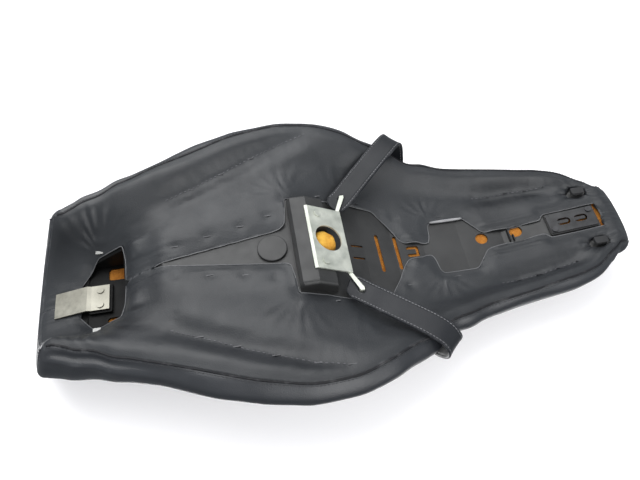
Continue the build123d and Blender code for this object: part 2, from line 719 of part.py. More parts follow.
def mirrored(part):
    with BuildPart() as copy:
        add(part)
        mirror(about=Plane.YZ, mode=Mode.REPLACE)
    return copy.part


def hole_centre():
    """Middle of the locating hole, half-way through the bracket's sheet."""
    return slope_plane().from_local_coords((0, LOCATING_RUN, -BRACKET_GAP - SHEET / 2))


def save(part, name):
    part = part.moved(Location(-hole_centre()))
    part.label = name
    export_step(part, f"parts/{name}.step")


outer_body = envelope(0)
whole_upper = upper_cover()
left_skirt = skirt()

save(base_pan(envelope(PAN_GAP)), "base_pan")
save(pan_plug(), "pan_plug")
save(foam_core(envelope(FOAM_DEPTH)), "foam_core")
save(panel(whole_upper, -4 * FAR, CROSS_SEAM_FRONT), "cover_rider_panel")
save(panel(whole_upper, CROSS_SEAM_REAR, 4 * FAR), "cover_pillion_panel")
save(left_skirt, "cover_skirt_left")
save(mirrored(left_skirt), "cover_skirt_right")
save(grab_strap(), "grab_strap")
save(strap_bracket(), "strap_bracket")
save(bracket_rivets(), "bracket_rivets")
save(front_tongue(), "front_tongue")
save(tongue_rivets(), "tongue_rivets")
save(tongue_backing_plate(), "tongue_backing_plate")
save(rear_slot_plate(), "rear_slot_plate")
save(rear_plate_screws(), "rear_plate_screws")
save(rear_bumpers(), "rear_bumpers")
save(staples(outer_body, RIDER_CREASE), "staples_rider")
save(staples(outer_body, PILLION_CREASE), "staples_pillion")
save(staples(outer_body, CENTRE_EDGE), "staples_centre")
save(recess_clips(outer_body), "recess_clips")
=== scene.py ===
import json
import math

import bpy
import numpy as np
from mathutils import Matrix, Vector, noise
from mathutils.bvhtree import BVHTree


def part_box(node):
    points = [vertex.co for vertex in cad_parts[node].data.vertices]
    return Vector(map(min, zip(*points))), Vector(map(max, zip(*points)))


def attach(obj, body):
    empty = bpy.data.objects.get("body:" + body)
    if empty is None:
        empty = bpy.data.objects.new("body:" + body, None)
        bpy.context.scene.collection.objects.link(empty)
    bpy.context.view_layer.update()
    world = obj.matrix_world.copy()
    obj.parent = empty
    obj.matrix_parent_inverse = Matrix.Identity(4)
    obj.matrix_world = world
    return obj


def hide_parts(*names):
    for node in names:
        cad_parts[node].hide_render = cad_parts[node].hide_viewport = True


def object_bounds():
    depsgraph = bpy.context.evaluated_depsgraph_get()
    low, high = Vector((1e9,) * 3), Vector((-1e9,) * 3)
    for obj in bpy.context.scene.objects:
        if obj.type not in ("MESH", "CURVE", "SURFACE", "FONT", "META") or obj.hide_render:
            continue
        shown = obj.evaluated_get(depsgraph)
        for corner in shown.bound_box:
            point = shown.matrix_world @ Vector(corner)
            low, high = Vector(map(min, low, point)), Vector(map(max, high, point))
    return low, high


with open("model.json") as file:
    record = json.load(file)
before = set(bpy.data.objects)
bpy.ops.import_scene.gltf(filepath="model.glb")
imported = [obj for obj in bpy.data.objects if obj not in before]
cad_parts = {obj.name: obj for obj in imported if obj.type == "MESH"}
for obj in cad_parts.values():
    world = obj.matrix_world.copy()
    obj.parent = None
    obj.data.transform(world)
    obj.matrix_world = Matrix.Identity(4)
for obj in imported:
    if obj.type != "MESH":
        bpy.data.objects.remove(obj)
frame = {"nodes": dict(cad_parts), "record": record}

CAD_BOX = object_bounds()
NODES = frame["nodes"]
RNG = np.random.default_rng(11)
MM = 0.001
HINGE = frame["record"]["behaviour"]["joints"][0]["pos_m"]
# Shapes are laid out from a datum on the centre plane, at the hinge's height and 21 mm ahead of it.
DATUM = np.array([0.0, HINGE[1] - 0.021, HINGE[2]])

# ---------------------------------------------------------------- sampling the frame


def node_arrays(name):
    mesh = NODES[name].data
    co = np.zeros(len(mesh.vertices) * 3)
    mesh.vertices.foreach_get("co", co)
    mesh.calc_loop_triangles()
    tri = np.zeros(len(mesh.loop_triangles) * 3, int)
    mesh.loop_triangles.foreach_get("vertices", tri)
    return co.reshape(-1, 3) - DATUM, tri.reshape(-1, 3)


def node_box(name):
    """Lowest and highest corners of a node, from the datum."""
    lo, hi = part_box(name)
    return Vector(lo) - Vector(DATUM), Vector(hi) - Vector(DATUM)


def tree_of(names):
    verts, tris, owner, base = [], [], [], 0
    for n in names:
        co, tri = node_arrays(n)
        verts.append(co)
        tris.append(tri + base)
        owner += [n] * len(tri)
        base += len(co)
    return BVHTree.FromPolygons(np.vstack(verts).tolist(), np.vstack(tris).tolist()), owner


SKIRTS = ["cover_skirt_left", "cover_skirt_right"]
PANELS = ["cover_rider_panel", "cover_pillion_panel"]
COVER, COVER_OWNER = tree_of(SKIRTS + PANELS + ["base_pan"])
TOP_TREE, _ = tree_of(PANELS)

lo_r, hi_r = node_box("cover_rider_panel")
lo_p, hi_p = node_box("cover_pillion_panel")
CROSS_Y = hi_r.y
NOSE_Y0, TAIL_Y0 = -0.332, 0.358
LEAN_END = -0.205


def lean_at(y0):
    return math.radians(24) * min(max((LEAN_END - y0) / (LEAN_END - NOSE_Y0), 0), 1)


def place(x, t, y0, a):
    return Vector((x, y0 - t * math.sin(a), t * math.cos(a)))


def up_hit(x, y0, a):
    """Height above y0's plane origin where an upward ray meets the seat, and the node met."""
    d = Vector((0, -math.sin(a), math.cos(a)))
    hit, _, face, dist = COVER.ray_cast(place(x, -0.2, y0, a), d)
    return (None, None) if hit is None else (dist - 0.2, COVER_OWNER[face])


def ray_to(cx, ct, angle, y0, a):
    """Outer skin point met by a ray from outside toward (cx, ct)."""
    dx, dt = math.cos(angle), math.sin(angle)
    far = 0.25
    o = place(cx + far * dx, ct + far * dt, y0, a)
    d = (place(cx, ct, y0, a) - o).normalized()
    hit, _, _, dist = COVER.ray_cast(o, d)
    s = far - dist if hit is not None else 0.0
    return cx + s * dx, ct + s * dt


def down_hit(x, y0, a):
    d = -Vector((0, -math.sin(a), math.cos(a)))
    hit, _, _, dist = TOP_TREE.ray_cast(place(x, 0.3, y0, a), d)
    return None if hit is None else 0.3 - dist


def seam_x(y0, a):
    last = None
    for x in np.arange(0.02, 0.2, 0.001):
        t, who = up_hit(x, y0, a)
        if who in SKIRTS:
            last = x
    return last


def open_x(y0, a):
    """Half width of the cover's opening at this row (0 where the cover is closed)."""
    t, who = up_hit(0.0008, y0, a)
    if who in SKIRTS:
        return 0.0
    prev = 0.0
    for x in np.arange(0.001, 0.09, 0.0005):
        t, who = up_hit(x, y0, a)
        if who in SKIRTS:
            return x
    return prev


def gaussian_rows(values, y, sigma):
    """Smooth rows of an array along y, rows unevenly spaced."""
    out = np.empty_like(values)
    for i, yi in enumerate(y):
        w = np.exp(-0.5 * ((y - yi) / sigma) ** 2)
        edge = min(yi - y[0], y[-1] - yi)
        if edge < 3 * sigma:  # keep the ends where they are
            w = np.exp(-0.5 * ((y - yi) / max(sigma * edge / (3 * sigma), 1e-4)) ** 2)
        # local weighted mean
        wm = w / w.sum()
        out[i] = np.tensordot(wm, values, 1)
    return out


ROW_STEP = 0.004
XG = np.arange(0, 0.2, 0.003)
SIDE_N, CROWN_N = 22, 26


def sample_rows():
    ys = set(np.round(np.arange(NOSE_Y0, TAIL_Y0 + 1e-6, ROW_STEP), 4))
    ys.add(round(TAIL_Y0, 4))
    ys = np.array(sorted(ys))
    # find the steps in the opening outline and add rows right at them
    opens = np.array([open_x(y, lean_at(y)) for y in ys])
    extra = []
    for i in range(len(ys) - 1):
        if abs(opens[i + 1] - opens[i]) > 0.006:
            a, b, oa = ys[i], ys[i + 1], opens[i]
            for _ in range(7):
                m = (a + b) / 2
                if abs(open_x(m, lean_at(m)) - oa) < abs(opens[i + 1] - oa) / 2:
                    a = m
                else:
                    b = m
            extra += [a, b]
    ys = np.array(sorted(set(ys.tolist() + extra)))
    rows = {"y": ys, "lean": np.array([lean_at(y) for y in ys])}
    opens, seams, heights, sides = [], [], [], []
    for y in ys:
        a = lean_at(y)
        opens.append(open_x(y, a))
        sx = seam_x(y, a)
        st = up_hit(sx, y, a)[0]
        h, last = [], None
        for x in XG:
            t, who = up_hit(max(x, 0.0012), y, a)  # the lower cover's two halves meet with a hair's gap
            if t is None:
                t = last
            h.append(t)
            last = t
        heights.append(h)
        seams.append((sx, st))
        w = 0
        for t in np.arange(st - 0.004, st + 0.04, 0.002):
            o, d = place(0.3, t, y, a), Vector((-1, 0, 0))
            hit = COVER.ray_cast(o, d)[0]
            if hit is not None:
                w = max(w, hit.x)
        cx = w - min(max(0.12 * w, 0.012), 0.022)
        ct = st + 0.016
        start = math.atan2(st - ct, sx - cx)
        pts = [ray_to(cx, ct, start + (math.pi / 2 - start) * k / SIDE_N, y, a) for k in range(SIDE_N)]
        pts[0] = (sx, st)
        for k in range(CROWN_N + 1):
            x = cx * math.cos(math.pi / 2 * k / CROWN_N) if k < CROWN_N else 0.0
            t = down_hit(max(x, 0.0005), y, a)
            pts.append((x, t if t is not None else pts[-1][1]))
        sides.append(pts)
    rows["open"] = np.array(opens)
    raw = np.array(heights, float)
    soft = gaussian_rows(raw, ys, 0.011)
    cut = np.maximum(soft - raw - 0.0006, 0)  # a corner of the pan would show where the skin cuts it
    soft = soft - 1.7 * gaussian_rows(cut, ys, 0.009)
    rows["under"] = np.minimum(soft, raw + 0.0012)
    rows["side"] = gaussian_rows(np.array(sides, float), ys, 0.011)
    return rows


ROWS = sample_rows()
UNDER_N = 54


def under_point(i, s):
    """Underside of row i at share s from the middle (0) to the seam (1), cut back to the opening's edge."""
    xo, xs = ROWS["open"][i], ROWS["side"][i, 0, 0]
    x = np.maximum(xs * s, xo)
    t = np.interp(x, XG, ROWS["under"][i])
    # meet the seam exactly
    t_end = np.interp(xs, XG, ROWS["under"][i])
    fade = np.clip((s - 0.8) / 0.2, 0, 1) ** 2
    return x, t + (ROWS["side"][i, 0, 1] - t_end) * fade


def to_world(x, t, y0, a):
    return np.stack([x, y0 - t * np.sin(a), t * np.cos(a)], -1)


def half_rows():
    """Underside and upper half rows in world metres, +X half."""
    s = np.linspace(0, 1, UNDER_N + 1)
    under, upper = [], []
    for i, (y, a) in enumerate(zip(ROWS["y"], ROWS["lean"])):
        x, t = under_point(i, s)
        under.append(np.stack([x, t], -1))
        upper.append(ROWS["side"][i])
    return np.array(under), np.array(upper)


UNDER2, UPPER2 = half_rows()


def ring_inset(under, upper, depth):
    """Move a half ring (2-D) inward by depth along its normals."""
    ring = np.vstack([under, upper[1:]])
    prev = np.vstack([[-ring[1, 0], ring[1, 1]], ring[:-1]])
    nxt = np.vstack([ring[1:], [-ring[-2, 0], ring[-2, 1]]])
    d = nxt - prev
    # smooth tangents so that the thin seam end doesn't fold over
    for _ in range(6):
        d[1:-1] = (d[:-2] + d[1:-1] * 2 + d[2:]) / 4
    n = np.stack([d[:, 1], -d[:, 0]], -1)
    n /= np.linalg.norm(n, axis=1)[:, None]
    moved = ring - n * depth
    moved[0, 0] = moved[-1, 0] = 0 if under[0, 0] < 1e-6 else moved[0, 0]
    return moved[: len(under)], moved[len(under) - 1:]


def end_rows(i, radius, direction, steps):
    y, a = ROWS["y"][i], ROWS["lean"][i]
    rows = []
    for deg in steps:
        th = math.radians(deg)
        u, p = ring_inset(UNDER2[i], UPPER2[i], radius * (1 - math.cos(th)))
        yy = y + direction * radius * math.sin(th)
        rows.append((to_world(u[:, 0], u[:, 1], yy, a), to_world(p[:, 0], p[:, 1], yy, a)))
    return rows


NOSE_STEPS = (14, 28, 42, 56, 68, 78)
nose_rows = end_rows(0, 0.0115, -1, NOSE_STEPS)[::-1]
tail_rows = end_rows(len(ROWS["y"]) - 1, 0.0140, 1, NOSE_STEPS)
body_rows = [
    (to_world(UNDER2[i][:, 0], UNDER2[i][:, 1], ROWS["y"][i], ROWS["lean"][i]),
     to_world(UPPER2[i][:, 0], UPPER2[i][:, 1], ROWS["y"][i], ROWS["lean"][i]))
    for i in range(len(ROWS["y"]))
]
ALL = nose_rows + body_rows + tail_rows
N_NOSE = len(nose_rows)
U = np.array([r[0] for r in ALL])  # rows x (UNDER_N+1) x 3, opening edge to seam, +X side
T = np.array([r[1] for r in ALL])  # rows x (SIDE_N+CROWN_N+1) x 3, seam to crown


def arch_tail(g):
    """Bow the tail's end rearward in the middle and draw its corners in."""
    late = np.clip((g[..., 1] - 0.322) / 0.046, 0, 1)
    late = late * late * (3 - 2 * late)
    share = np.minimum(np.abs(g[..., 0]) / 0.062, 1.1)
    g[..., 1] += 0.0060 * late * (1 - share ** 2)
    g[..., 0] *= 1 - 0.10 * late * share ** 2


arch_tail(U)
arch_tail(T)

# ---------------------------------------------------------------- mesh helpers


def make_object(name, verts, faces, smooth=True):
    """Mesh object from vertices measured from the datum, stored in the row frame."""
    mesh = bpy.data.meshes.new(name)
    mesh.from_pydata([tuple(v) for v in np.asarray(verts, float) + DATUM], [], [tuple(int(i) for i in f) for f in faces])
    mesh.update()
    if smooth:
        mesh.polygons.foreach_set("use_smooth", [True] * len(mesh.polygons))
    ob = bpy.data.objects.new(name, mesh)
    bpy.context.scene.collection.objects.link(ob)
    return ob


def grid_faces(rows, cols, base=0, flip=False):
    i, j = np.meshgrid(np.arange(rows - 1), np.arange(cols - 1), indexing="ij")
    a = base + i * cols + j
    f = np.stack([a, a + 1, a + cols + 1, a + cols], -1).reshape(-1, 4)
    return f[:, ::-1] if flip else f


def grid_normals(g):
    """Normals square to each row; rows may lie almost on top of each other, so only the row direction counts."""
    du = np.gradient(g, axis=1)
    n = np.cross(np.array([0.0, 1.0, 0.0]), du)
    ln = np.linalg.norm(n, axis=2)[..., None]
    return n / np.maximum(ln, 1e-12)


def seg_dist(px, py, ax, ay, bx, by):
    dx, dy = bx - ax, by - ay
    ll = dx * dx + dy * dy
    s = np.clip(((px - ax) * dx + (py - ay) * dy) / ll, 0, 1)
    return np.hypot(px - ax - s * dx, py - ay - s * dy), s


def polyline_dist(px, py, pts):
    best = np.full(px.shape, 1e9)
    along = np.zeros(px.shape)
    run = 0
    for (ax, ay), (bx, by) in zip(pts, pts[1:]):
        length = math.hypot(bx - ax, by - ay)
        d, s = seg_dist(px, py, ax, ay, bx, by)
        near = d < best
        best = np.where(near, d, best)
        along = np.where(near, run + s * length, along)
        run += length
    return best, along, run


def gauss(d, w):
    return np.exp(-((d / w) ** 2))


def fbm(points, scale, octaves=3, seed=0.0):
    flat = points.reshape(-1, 3) * scale + seed
    out = np.array([noise.fractal(Vector(p), 1.0, 2.0, octaves) for p in flat])
    return out.reshape(points.shape[:-1])


def smooth01(x):
    x = np.clip(x, 0, 1)
    return x * x * (3 - 2 * x)


# ---------------------------------------------------------------- the crease lines, from the staple nodes


def staple_centres(name, side=1):
    """Middle of each staple on one side, front to rear, from the frame mesh."""
    co, tri = node_arrays(name)
    parent = list(range(len(co)))

    def find(a):
        while parent[a] != a:
            parent[a] = parent[parent[a]]
            a = parent[a]
        return a

    for t in tri:
        for k in range(2):
            parent[find(t[k])] = find(t[k + 1])
    key = {}
    for i in range(len(co)):
        key.setdefault(tuple(np.round(co[i], 6)), []).append(i)
    for same in key.values():
        for k in same[1:]:
            parent[find(k)] = find(same[0])
    groups = {}
    for i in range(len(co)):
        groups.setdefault(find(i), []).append(i)
    mids = [co[g].mean(0) for g in groups.values() if side * co[g].mean(0)[0] > 0]
    return sorted([(m[0] * side, m[1], m[2]) for m in mids], key=lambda p: p[1])


RIDER_CREASE = staple_centres("staples_rider")
PILLION_CREASE = staple_centres("staples_pillion")
CENTRE_STAPLES = staple_centres("staples_centre")


PUFF = 2.6  # how far the padded skin swells clear of the solid it stands for, mm


def crease_disp(x, y):
    """Long tufted grooves along the staple lines with soft rolls beside them, metres outward."""
    ax = np.abs(x)
    out = np.zeros(x.shape)
    for line, roll, width in ((RIDER_CREASE, 3.0, 11.5), (PILLION_CREASE, 2.0, 9)):
        pts = [(p[0], p[1]) for p in line]
        d, s, total = polyline_dist(ax, y, pts)
        gap = total / (len(pts) - 1)
        wobble = 0.93 + 0.07 * np.cos(2 * math.pi * s / gap)
        end = smooth01((s + 0.02) / 0.045) * smooth01((total - s + 0.02) / 0.045)
        fade = np.where((s <= 0) | (s >= total), 0.4, 1) * (0.2 + 0.8 * end)
        out -= (PUFF + 0.7) * MM * gauss(d, width * MM) * wobble * fade
        out += roll * MM * gauss(d - 0.022, 0.013) * fade
        ripple = np.cos(2 * math.pi * s / (gap / 3) + 0.6 + 2.4 * np.sin(s * 61) + np.sin(s * 143)) * gauss(d - 0.010, 0.008)
        out += 0.38 * MM * ripple * fade
    for px, py, _ in CENTRE_STAPLES:
        r = np.hypot(ax - px, y - py)
        out -= (PUFF - 0.3) * MM * gauss(r, 0.0065)
    return out


# ---------------------------------------------------------------- covers

FIRST_SKIRT = 2  # the outermost nose and tail rings belong to the upper panels


def end_ramp(count):
    """Detail fades out toward the nose and tail rings that the panels share."""
    i = np.arange(count)
    nose = np.clip((i - FIRST_SKIRT) / (N_NOSE + 3 - FIRST_SKIRT), 0, 1)
    tail = np.clip((count - 1 - FIRST_SKIRT - i) / (len(tail_rows) + 3 - FIRST_SKIRT), 0, 1)
    return smooth01(np.minimum(nose, tail))


def open_runs():
    """The cut edge of the lower cover as polylines, one for each opening."""
    runs, run = [], []
    for i, (p, _) in enumerate(body_rows):
        if ROWS["open"][i] > 0:
            run.append((ROWS["open"][i], p[0, 1]))
        elif run:
            runs.append(run)
            run = []
    return [r for r in runs + [run] if len(r) > 1]


OPEN_RUNS = open_runs()


def under_shape(g, side):
    """Outward offset for the lower cover."""
    x, y = g[..., 0], g[..., 1]
    rows, cols = x.shape
    s = x / x[:, -1:]
    line = -crease_disp(x, y) / MM
    out = (PUFF - line) * MM
    # broad soft swell of the pads, different left and right
    apart = side * smooth01(x / 0.03)  # the two halves agree where they meet
    swell = fbm(np.stack([x, y * 0.45, 0.3 * apart], -1), 17, 2, 3.1)
    out += 1.5 * MM * swell
    fine = fbm(np.stack([x * 1.2, y * 0.6, 0.2 * apart], -1), 55, 2, 8.7)
    out += 0.45 * MM * fine
    # tension folds fanning from the nose pocket and the box corners
    for (fx, fy), ang0, ang1, count, reach, amp in (
        ((0.052, -0.290), -1.2, 1.35, 7, 0.075, 1.1),
        ((0.069, -0.050), -1.5, 0.9, 7, 0.07, 0.8),
        ((0.070, 0.020), -0.6, 1.5, 6, 0.07, 0.8),
        ((0.041, 0.133), -1.2, 1.2, 6, 0.045, 0.6),
        ((0.039, 0.333), -3.2, 3.2, 11, 0.036, 0.8),
    ):
        dx, dy = np.abs(x) - fx, y - fy
        r = np.hypot(dx, dy)
        ang = np.arctan2(dy, dx)
        wave = np.cos((ang - ang0) / (ang1 - ang0) * 2 * math.pi * count + apart + 2.5 * np.sin(r * 45))
        window = smooth01((ang - ang0) / 0.35) * smooth01((ang1 - ang) / 0.35)
        out += amp * MM * wave * window * gauss(r - 0.018, reach * 0.42) * smooth01(r / 0.012)
    # puckered sockets round the tail bumpers
    r = np.hypot((np.abs(x) - 0.039) / 0.75, y - 0.333)
    out -= 2.5 * MM * gauss(r, 0.014)
    out += 1.6 * MM * gauss(r - 0.026, 0.009)
    # the strap lies over the skin, and needs room to swing
    lane, _, _ = polyline_dist(np.abs(x), y, [(0.067, 0.021), (0.100, 0.056), (0.128, 0.086), (0.151, 0.108)])
    out *= 1 - 0.85 * gauss(lane, 0.022)
    # no offset at the seam or the cut edge
    out *= smooth01((1 - s) / 0.10)
    edge = np.full(x.shape, 1.0)
    for run in OPEN_RUNS:
        d, _, _ = polyline_dist(x, y, run)
        edge = np.minimum(edge, 0.10 + 0.90 * smooth01((d - 0.001) / 0.014))
    out *= edge
    return out


def skirt(side):
    g = U.copy()
    n = grid_normals(g)
    n *= np.where(n[..., 2:3] > 0, -1, 1)
    d = under_shape(g, side)
    ramp = end_ramp(len(U))
    g = g + n * (d * ramp[:, None])[..., None]
    if side < 0:
        g = g * [-1, 1, 1]
    return g


SKIRT_GRID = {1: skirt(1), -1: skirt(-1)}


def skirt_object(name, side):
    g = SKIRT_GRID[side][FIRST_SKIRT:len(U) - FIRST_SKIRT]
    rows, cols, _ = g.shape
    keep = []
    faces = grid_faces(rows, cols, flip=side > 0)
    verts = g.reshape(-1, 3)
    # cut the bumper socket
    cx, cy = 0.039 * side, 0.333
    r = np.hypot((verts[:, 0] - cx) / 0.0075, (verts[:, 1] - cy) / 0.0115)
    centre_r = r[faces].mean(1)
    faces = faces[centre_r > 1.0]
    rim = (r < 1.32) & np.isin(np.arange(len(verts)), faces)
    ang = np.arctan2((verts[:, 1] - cy) / 0.0115, (verts[:, 0] - cx) / 0.0075)
    edge_count = np.zeros(len(verts), int)
    np.add.at(edge_count, faces.ravel(), 1)
    rim &= edge_count < 4
    rim &= r < 1.4
    verts = verts.copy()
    verts[rim, 0] = cx + 0.0075 * np.cos(ang[rim]) * 1.0
    verts[rim, 1] = cy + 0.0115 * np.sin(ang[rim]) * 1.0
    verts[rim, 2] += 0.0015
    ob = make_object(name, verts, faces)
    return ob


def upper_offset(g):
    """Outward offset of the upper panels: a few long pull lines and uneven foam."""
    x, y, z = g[..., 0], g[..., 1], g[..., 2]
    out = 1.0 * MM * fbm(g, 14, 2, 21.0)
    out += 0.30 * MM * fbm(g * [1, 0.5, 1], 60, 2, 5.0)
    # rolled edge and hollow flank at the nose
    cols = g.shape[1]
    s = np.abs(np.linspace(-1, 1, cols))[None, :] * np.ones((g.shape[0], 1))  # 1 at the seams
    arc = (1 - s)
    near_nose = smooth01((-0.17 - y) / 0.12)
    out += near_nose * (-4.5 * MM * gauss(arc - 0.075, 0.040) + 1.5 * MM * gauss(arc - 0.17, 0.045))
    # the strap presses a shallow band, with swell on both sides
    band = gauss((y - CROSS_Y) / 0.018, 1)
    out -= 1.6 * MM * band
    out += 1.0 * MM * gauss((np.abs(y - CROSS_Y) - 0.034) / 0.014, 1)
    out *= smooth01(arc / 0.06)
    return out


def upper_grid():
    right = T
    left = T[:, :-1] * [-1, 1, 1]
    return np.concatenate([left, right[:, ::-1]], 1)  # -X seam ... crown ... +X seam


UPPER = upper_grid()


def upper_final():
    g = UPPER.copy()
    n = grid_normals(g)
    mid = np.array([0, 0, 0.02])
    flip = np.sign(np.sum(n * (g - mid), -1))
    n *= np.where(np.median(flip) < 0, -1, 1)
    d = upper_offset(g)
    ramp = end_ramp(len(g))
    return g + n * (d * ramp[:, None])[..., None]


UPPER_FINAL = upper_final()


def cap_grid(row_u, row_t, forward, bulge, steps=6):
    """Front or rear face: bridges the underside ring to the upper ring, both halves."""
    k = len(row_u)
    arc = np.linalg.norm(np.diff(row_t, axis=0), axis=1)
    run = np.concatenate([[0], np.cumsum(arc)]) / arc.sum()
    want = np.linspace(1, 0, k)  # crown first, to match the underside's centre
    top = np.stack([np.interp(want, run, row_t[:, c]) for c in range(3)], -1)
    rows = []
    for j in range(steps + 1):
        q = j / steps
        p = row_u * (1 - q) + top * q
        lift = math.sin(math.pi * q)
        p = p + np.array(forward) * bulge * lift
        rows.append(p)
    right = np.array(rows)
    return np.concatenate([right[:, :0:-1] * [-1, 1, 1], right], 1)


def upper_object(name, r0, r1, cap=None):
    g = UPPER_FINAL[r0:r1]
    rows, cols, _ = g.shape
    verts = [g.reshape(-1, 3)]
    faces = [grid_faces(rows, cols, flip=False)]
    if cap is not None:
        end, forward, flip = cap
        idx = 0 if end == "nose" else len(ALL) - 1
        u_first = FIRST_SKIRT if end == "nose" else len(ALL) - 1 - FIRST_SKIRT
        # underside rings beyond the skirt, then the face itself
        under_idx = list(range(u_first, -1, -1)) if end == "nose" else list(range(u_first, len(ALL)))
        under = np.array([np.concatenate([U[i][:0:-1] * [-1, 1, 1], U[i]], 0) for i in under_idx])
        base = sum(len(v) for v in verts)
        verts.append(under.reshape(-1, 3))
        faces.append(grid_faces(len(under_idx), under.shape[1], base, flip=flip))
        face = cap_grid(U[idx], T[idx], forward, 0.0015)
        base = sum(len(v) for v in verts)
        verts.append(face.reshape(-1, 3))
        faces.append(grid_faces(face.shape[0], face.shape[1], base, flip=flip))
    ob = make_object(name, np.vstack(verts), np.vstack(faces))
    merge(ob, 0.0004)
    return ob


def merge(ob, dist):
    import bmesh
    bm = bmesh.new()
    bm.from_mesh(ob.data)
    bmesh.ops.remove_doubles(bm, verts=bm.verts, dist=dist)
    bmesh.ops.recalc_face_normals(bm, faces=bm.faces)
    bm.to_mesh(ob.data)
    bm.free()
    ob.data.polygons.foreach_set("use_smooth", [True] * len(ob.data.polygons))


def thicken(ob, thickness, offset=-1):
    m = ob.modifiers.new("thickness", "SOLIDIFY")
    m.thickness = thickness
    m.offset = offset
    m.use_even_offset = False


row_y = UPPER_FINAL[:, UPPER_FINAL.shape[1] // 2, 1]
cross_row = int(np.argmin(np.abs(row_y[N_NOSE:-6] - CROSS_Y))) + N_NOSE

rider = upper_object("rider_cover", 0, cross_row + 1, ("nose", (0, -1, 0), False))
pillion = upper_object("pillion_cover", cross_row, len(ALL), ("tail", (0, 1, 0), True))
skirt_l = skirt_object("skirt_left", 1)
skirt_r = skirt_object("skirt_right", -1)
for ob in (skirt_l, skirt_r):
    merge(ob, 0.00005)

# ---------------------------------------------------------------- stitches and seams


def capsule(length, radius, around=6):
    verts, faces = [], []
    prof = [(-0.5, 0.0), (-0.42, 0.6), (-0.25, 1.0), (0.25, 1.0), (0.42, 0.6), (0.5, 0.0)]
    for px, pr in prof[1:-1]:
        for k in range(around):
            a = 2 * math.pi * k / around
            verts.append((px * length, pr * radius * math.cos(a), pr * radius * math.sin(a)))
    rings = len(prof) - 2
    verts = [(-0.5 * length, 0, 0)] + verts + [(0.5 * length, 0, 0)]
    for k in range(around):
        faces.append((0, 1 + (k + 1) % around, 1 + k))
        end = 1 + (rings - 1) * around
        faces.append((len(verts) - 1, end + k, end + (k + 1) % around))
    for r in range(rings - 1):
        for k in range(around):
            a = 1 + r * around + k
            b = 1 + r * around + (k + 1) % around
            faces.append((a, b, b + around, a + around))
    return np.array(verts), faces


def along(points, pitch):
    """Positions, tangents and source shares at a steady pitch along a polyline."""
    seg = np.linalg.norm(np.diff(points, axis=0), axis=1)
    run = np.concatenate([[0], np.cumsum(seg)])
    at = np.arange(pitch / 2, run[-1], pitch)
    pos = np.stack([np.interp(at, run, points[:, c]) for c in range(3)], -1)
    ahead = np.stack([np.interp(at + pitch * 0.3, run, points[:, c]) for c in range(3)], -1)
    back = np.stack([np.interp(at - pitch * 0.3, run, points[:, c]) for c in range(3)], -1)
    tan = ahead - back
    tan /= np.maximum(np.linalg.norm(tan, axis=1)[:, None], 1e-12)
    return pos, tan, at / run[-1]


def stitch_mesh(name, lines, pitch, length, radius, lift):
    """One mesh of thread stitches along several lines; each line is (points, normals)."""
    cv, cf = capsule(length, radius)
    verts, faces = [], []
    for points, normals in lines:
        pos, tan, share = along(points, pitch)
        frac = np.linspace(0, 1, len(normals))
        nor = np.stack([np.interp(share, frac, normals[:, c]) for c in range(3)], -1)
        for p, t, n in zip(pos, tan, nor):
            n = n - t * np.dot(n, t)
            n /= max(np.linalg.norm(n), 1e-9)
            b = np.cross(n, t)
            m = np.stack([t, b, n], 1)
            base = len(verts) * len(cv)
            verts.append(cv @ m.T + p + n * lift)
            faces += [tuple(i + base for i in f) for f in cf]
    return make_object(name, np.vstack(verts), faces)


def seam_line(side, inset_cols, rows=slice(FIRST_SKIRT + 2, -FIRST_SKIRT - 2)):
    """Line along the upper panel's edge, a few columns in from the seam."""
    g = UPPER_FINAL[rows]
    n = grid_normals(UPPER_FINAL)[rows]
    mid = np.array([0, 0, 0.02])
    n *= np.where(np.median(np.sum(n * (g - mid), -1)) < 0, -1, 1)
    j0 = 0 if side < 0 else g.shape[1] - 1
    j1 = j0 + (1 if side < 0 else -1)
    p0, p1 = g[:, j0], g[:, j1]
    d = p1 - p0
    ln = np.linalg.norm(d, axis=1)[:, None]
    points = p0 + d / np.maximum(ln, 1e-9) * inset_cols
    return points, n[:, j1]


stitches = stitch_mesh(
    "seam_stitches", [seam_line(1, 0.0030), seam_line(-1, 0.0030)], 0.0042, 0.0033, 0.00042, 0.0002
)

def crease_threads():
    """Short thread ends that show along the tufted grooves."""
    lines = []
    for side in (1, -1):
        g = SKIRT_GRID[side][N_NOSE:N_NOSE + len(ROWS["y"])]
        tree = BVHTree.FromPolygons(g.reshape(-1, 3).tolist(), grid_faces(g.shape[0], g.shape[1]).tolist())
        for line in (RIDER_CREASE, PILLION_CREASE):
            pts = []
            for (ax, ay, _), (bx, by, _) in zip(line, line[1:]):
                for q in np.linspace(0, 1, 12)[:-1]:
                    hit = tree.ray_cast(Vector((side * (ax + (bx - ax) * q), ay + (by - ay) * q, -0.2)), Vector((0, 0, 1)))
                    if hit[0] is not None:
                        pts.append(tuple(hit[0]))
            lines.append((np.array(pts), np.tile([0, 0, -1.0], (len(pts), 1))))
    return stitch_mesh("crease_threads", lines, 0.0062, 0.0036, 0.00055, 0.0002)


tufts = crease_threads()

# the folded edge of the upper panel, a thin welt that lies along the seam


def welt(name, side):
    p, n = seam_line(side, 0.0)
    q, _ = seam_line(side, 0.0060)
    d = q - p
    d /= np.linalg.norm(d, axis=1)[:, None]
    # cross-section: starts under the seam, rolls over it and tucks in above
    shape = [(-0.0012, -0.0006), (-0.0009, 0.0005), (-0.0002, 0.0010), (0.0006, 0.0010), (0.0013, 0.0005),
             (0.0016, -0.0004)]
    rows = np.stack([p + d * a + n * b for a, b in shape], 1)
    ob = make_object(name, rows.reshape(-1, 3), grid_faces(len(p), len(shape), flip=side > 0))
    return ob


welts = [welt("seam_fold_left", 1), welt("seam_fold_right", -1)]

# ---------------------------------------------------------------- foam


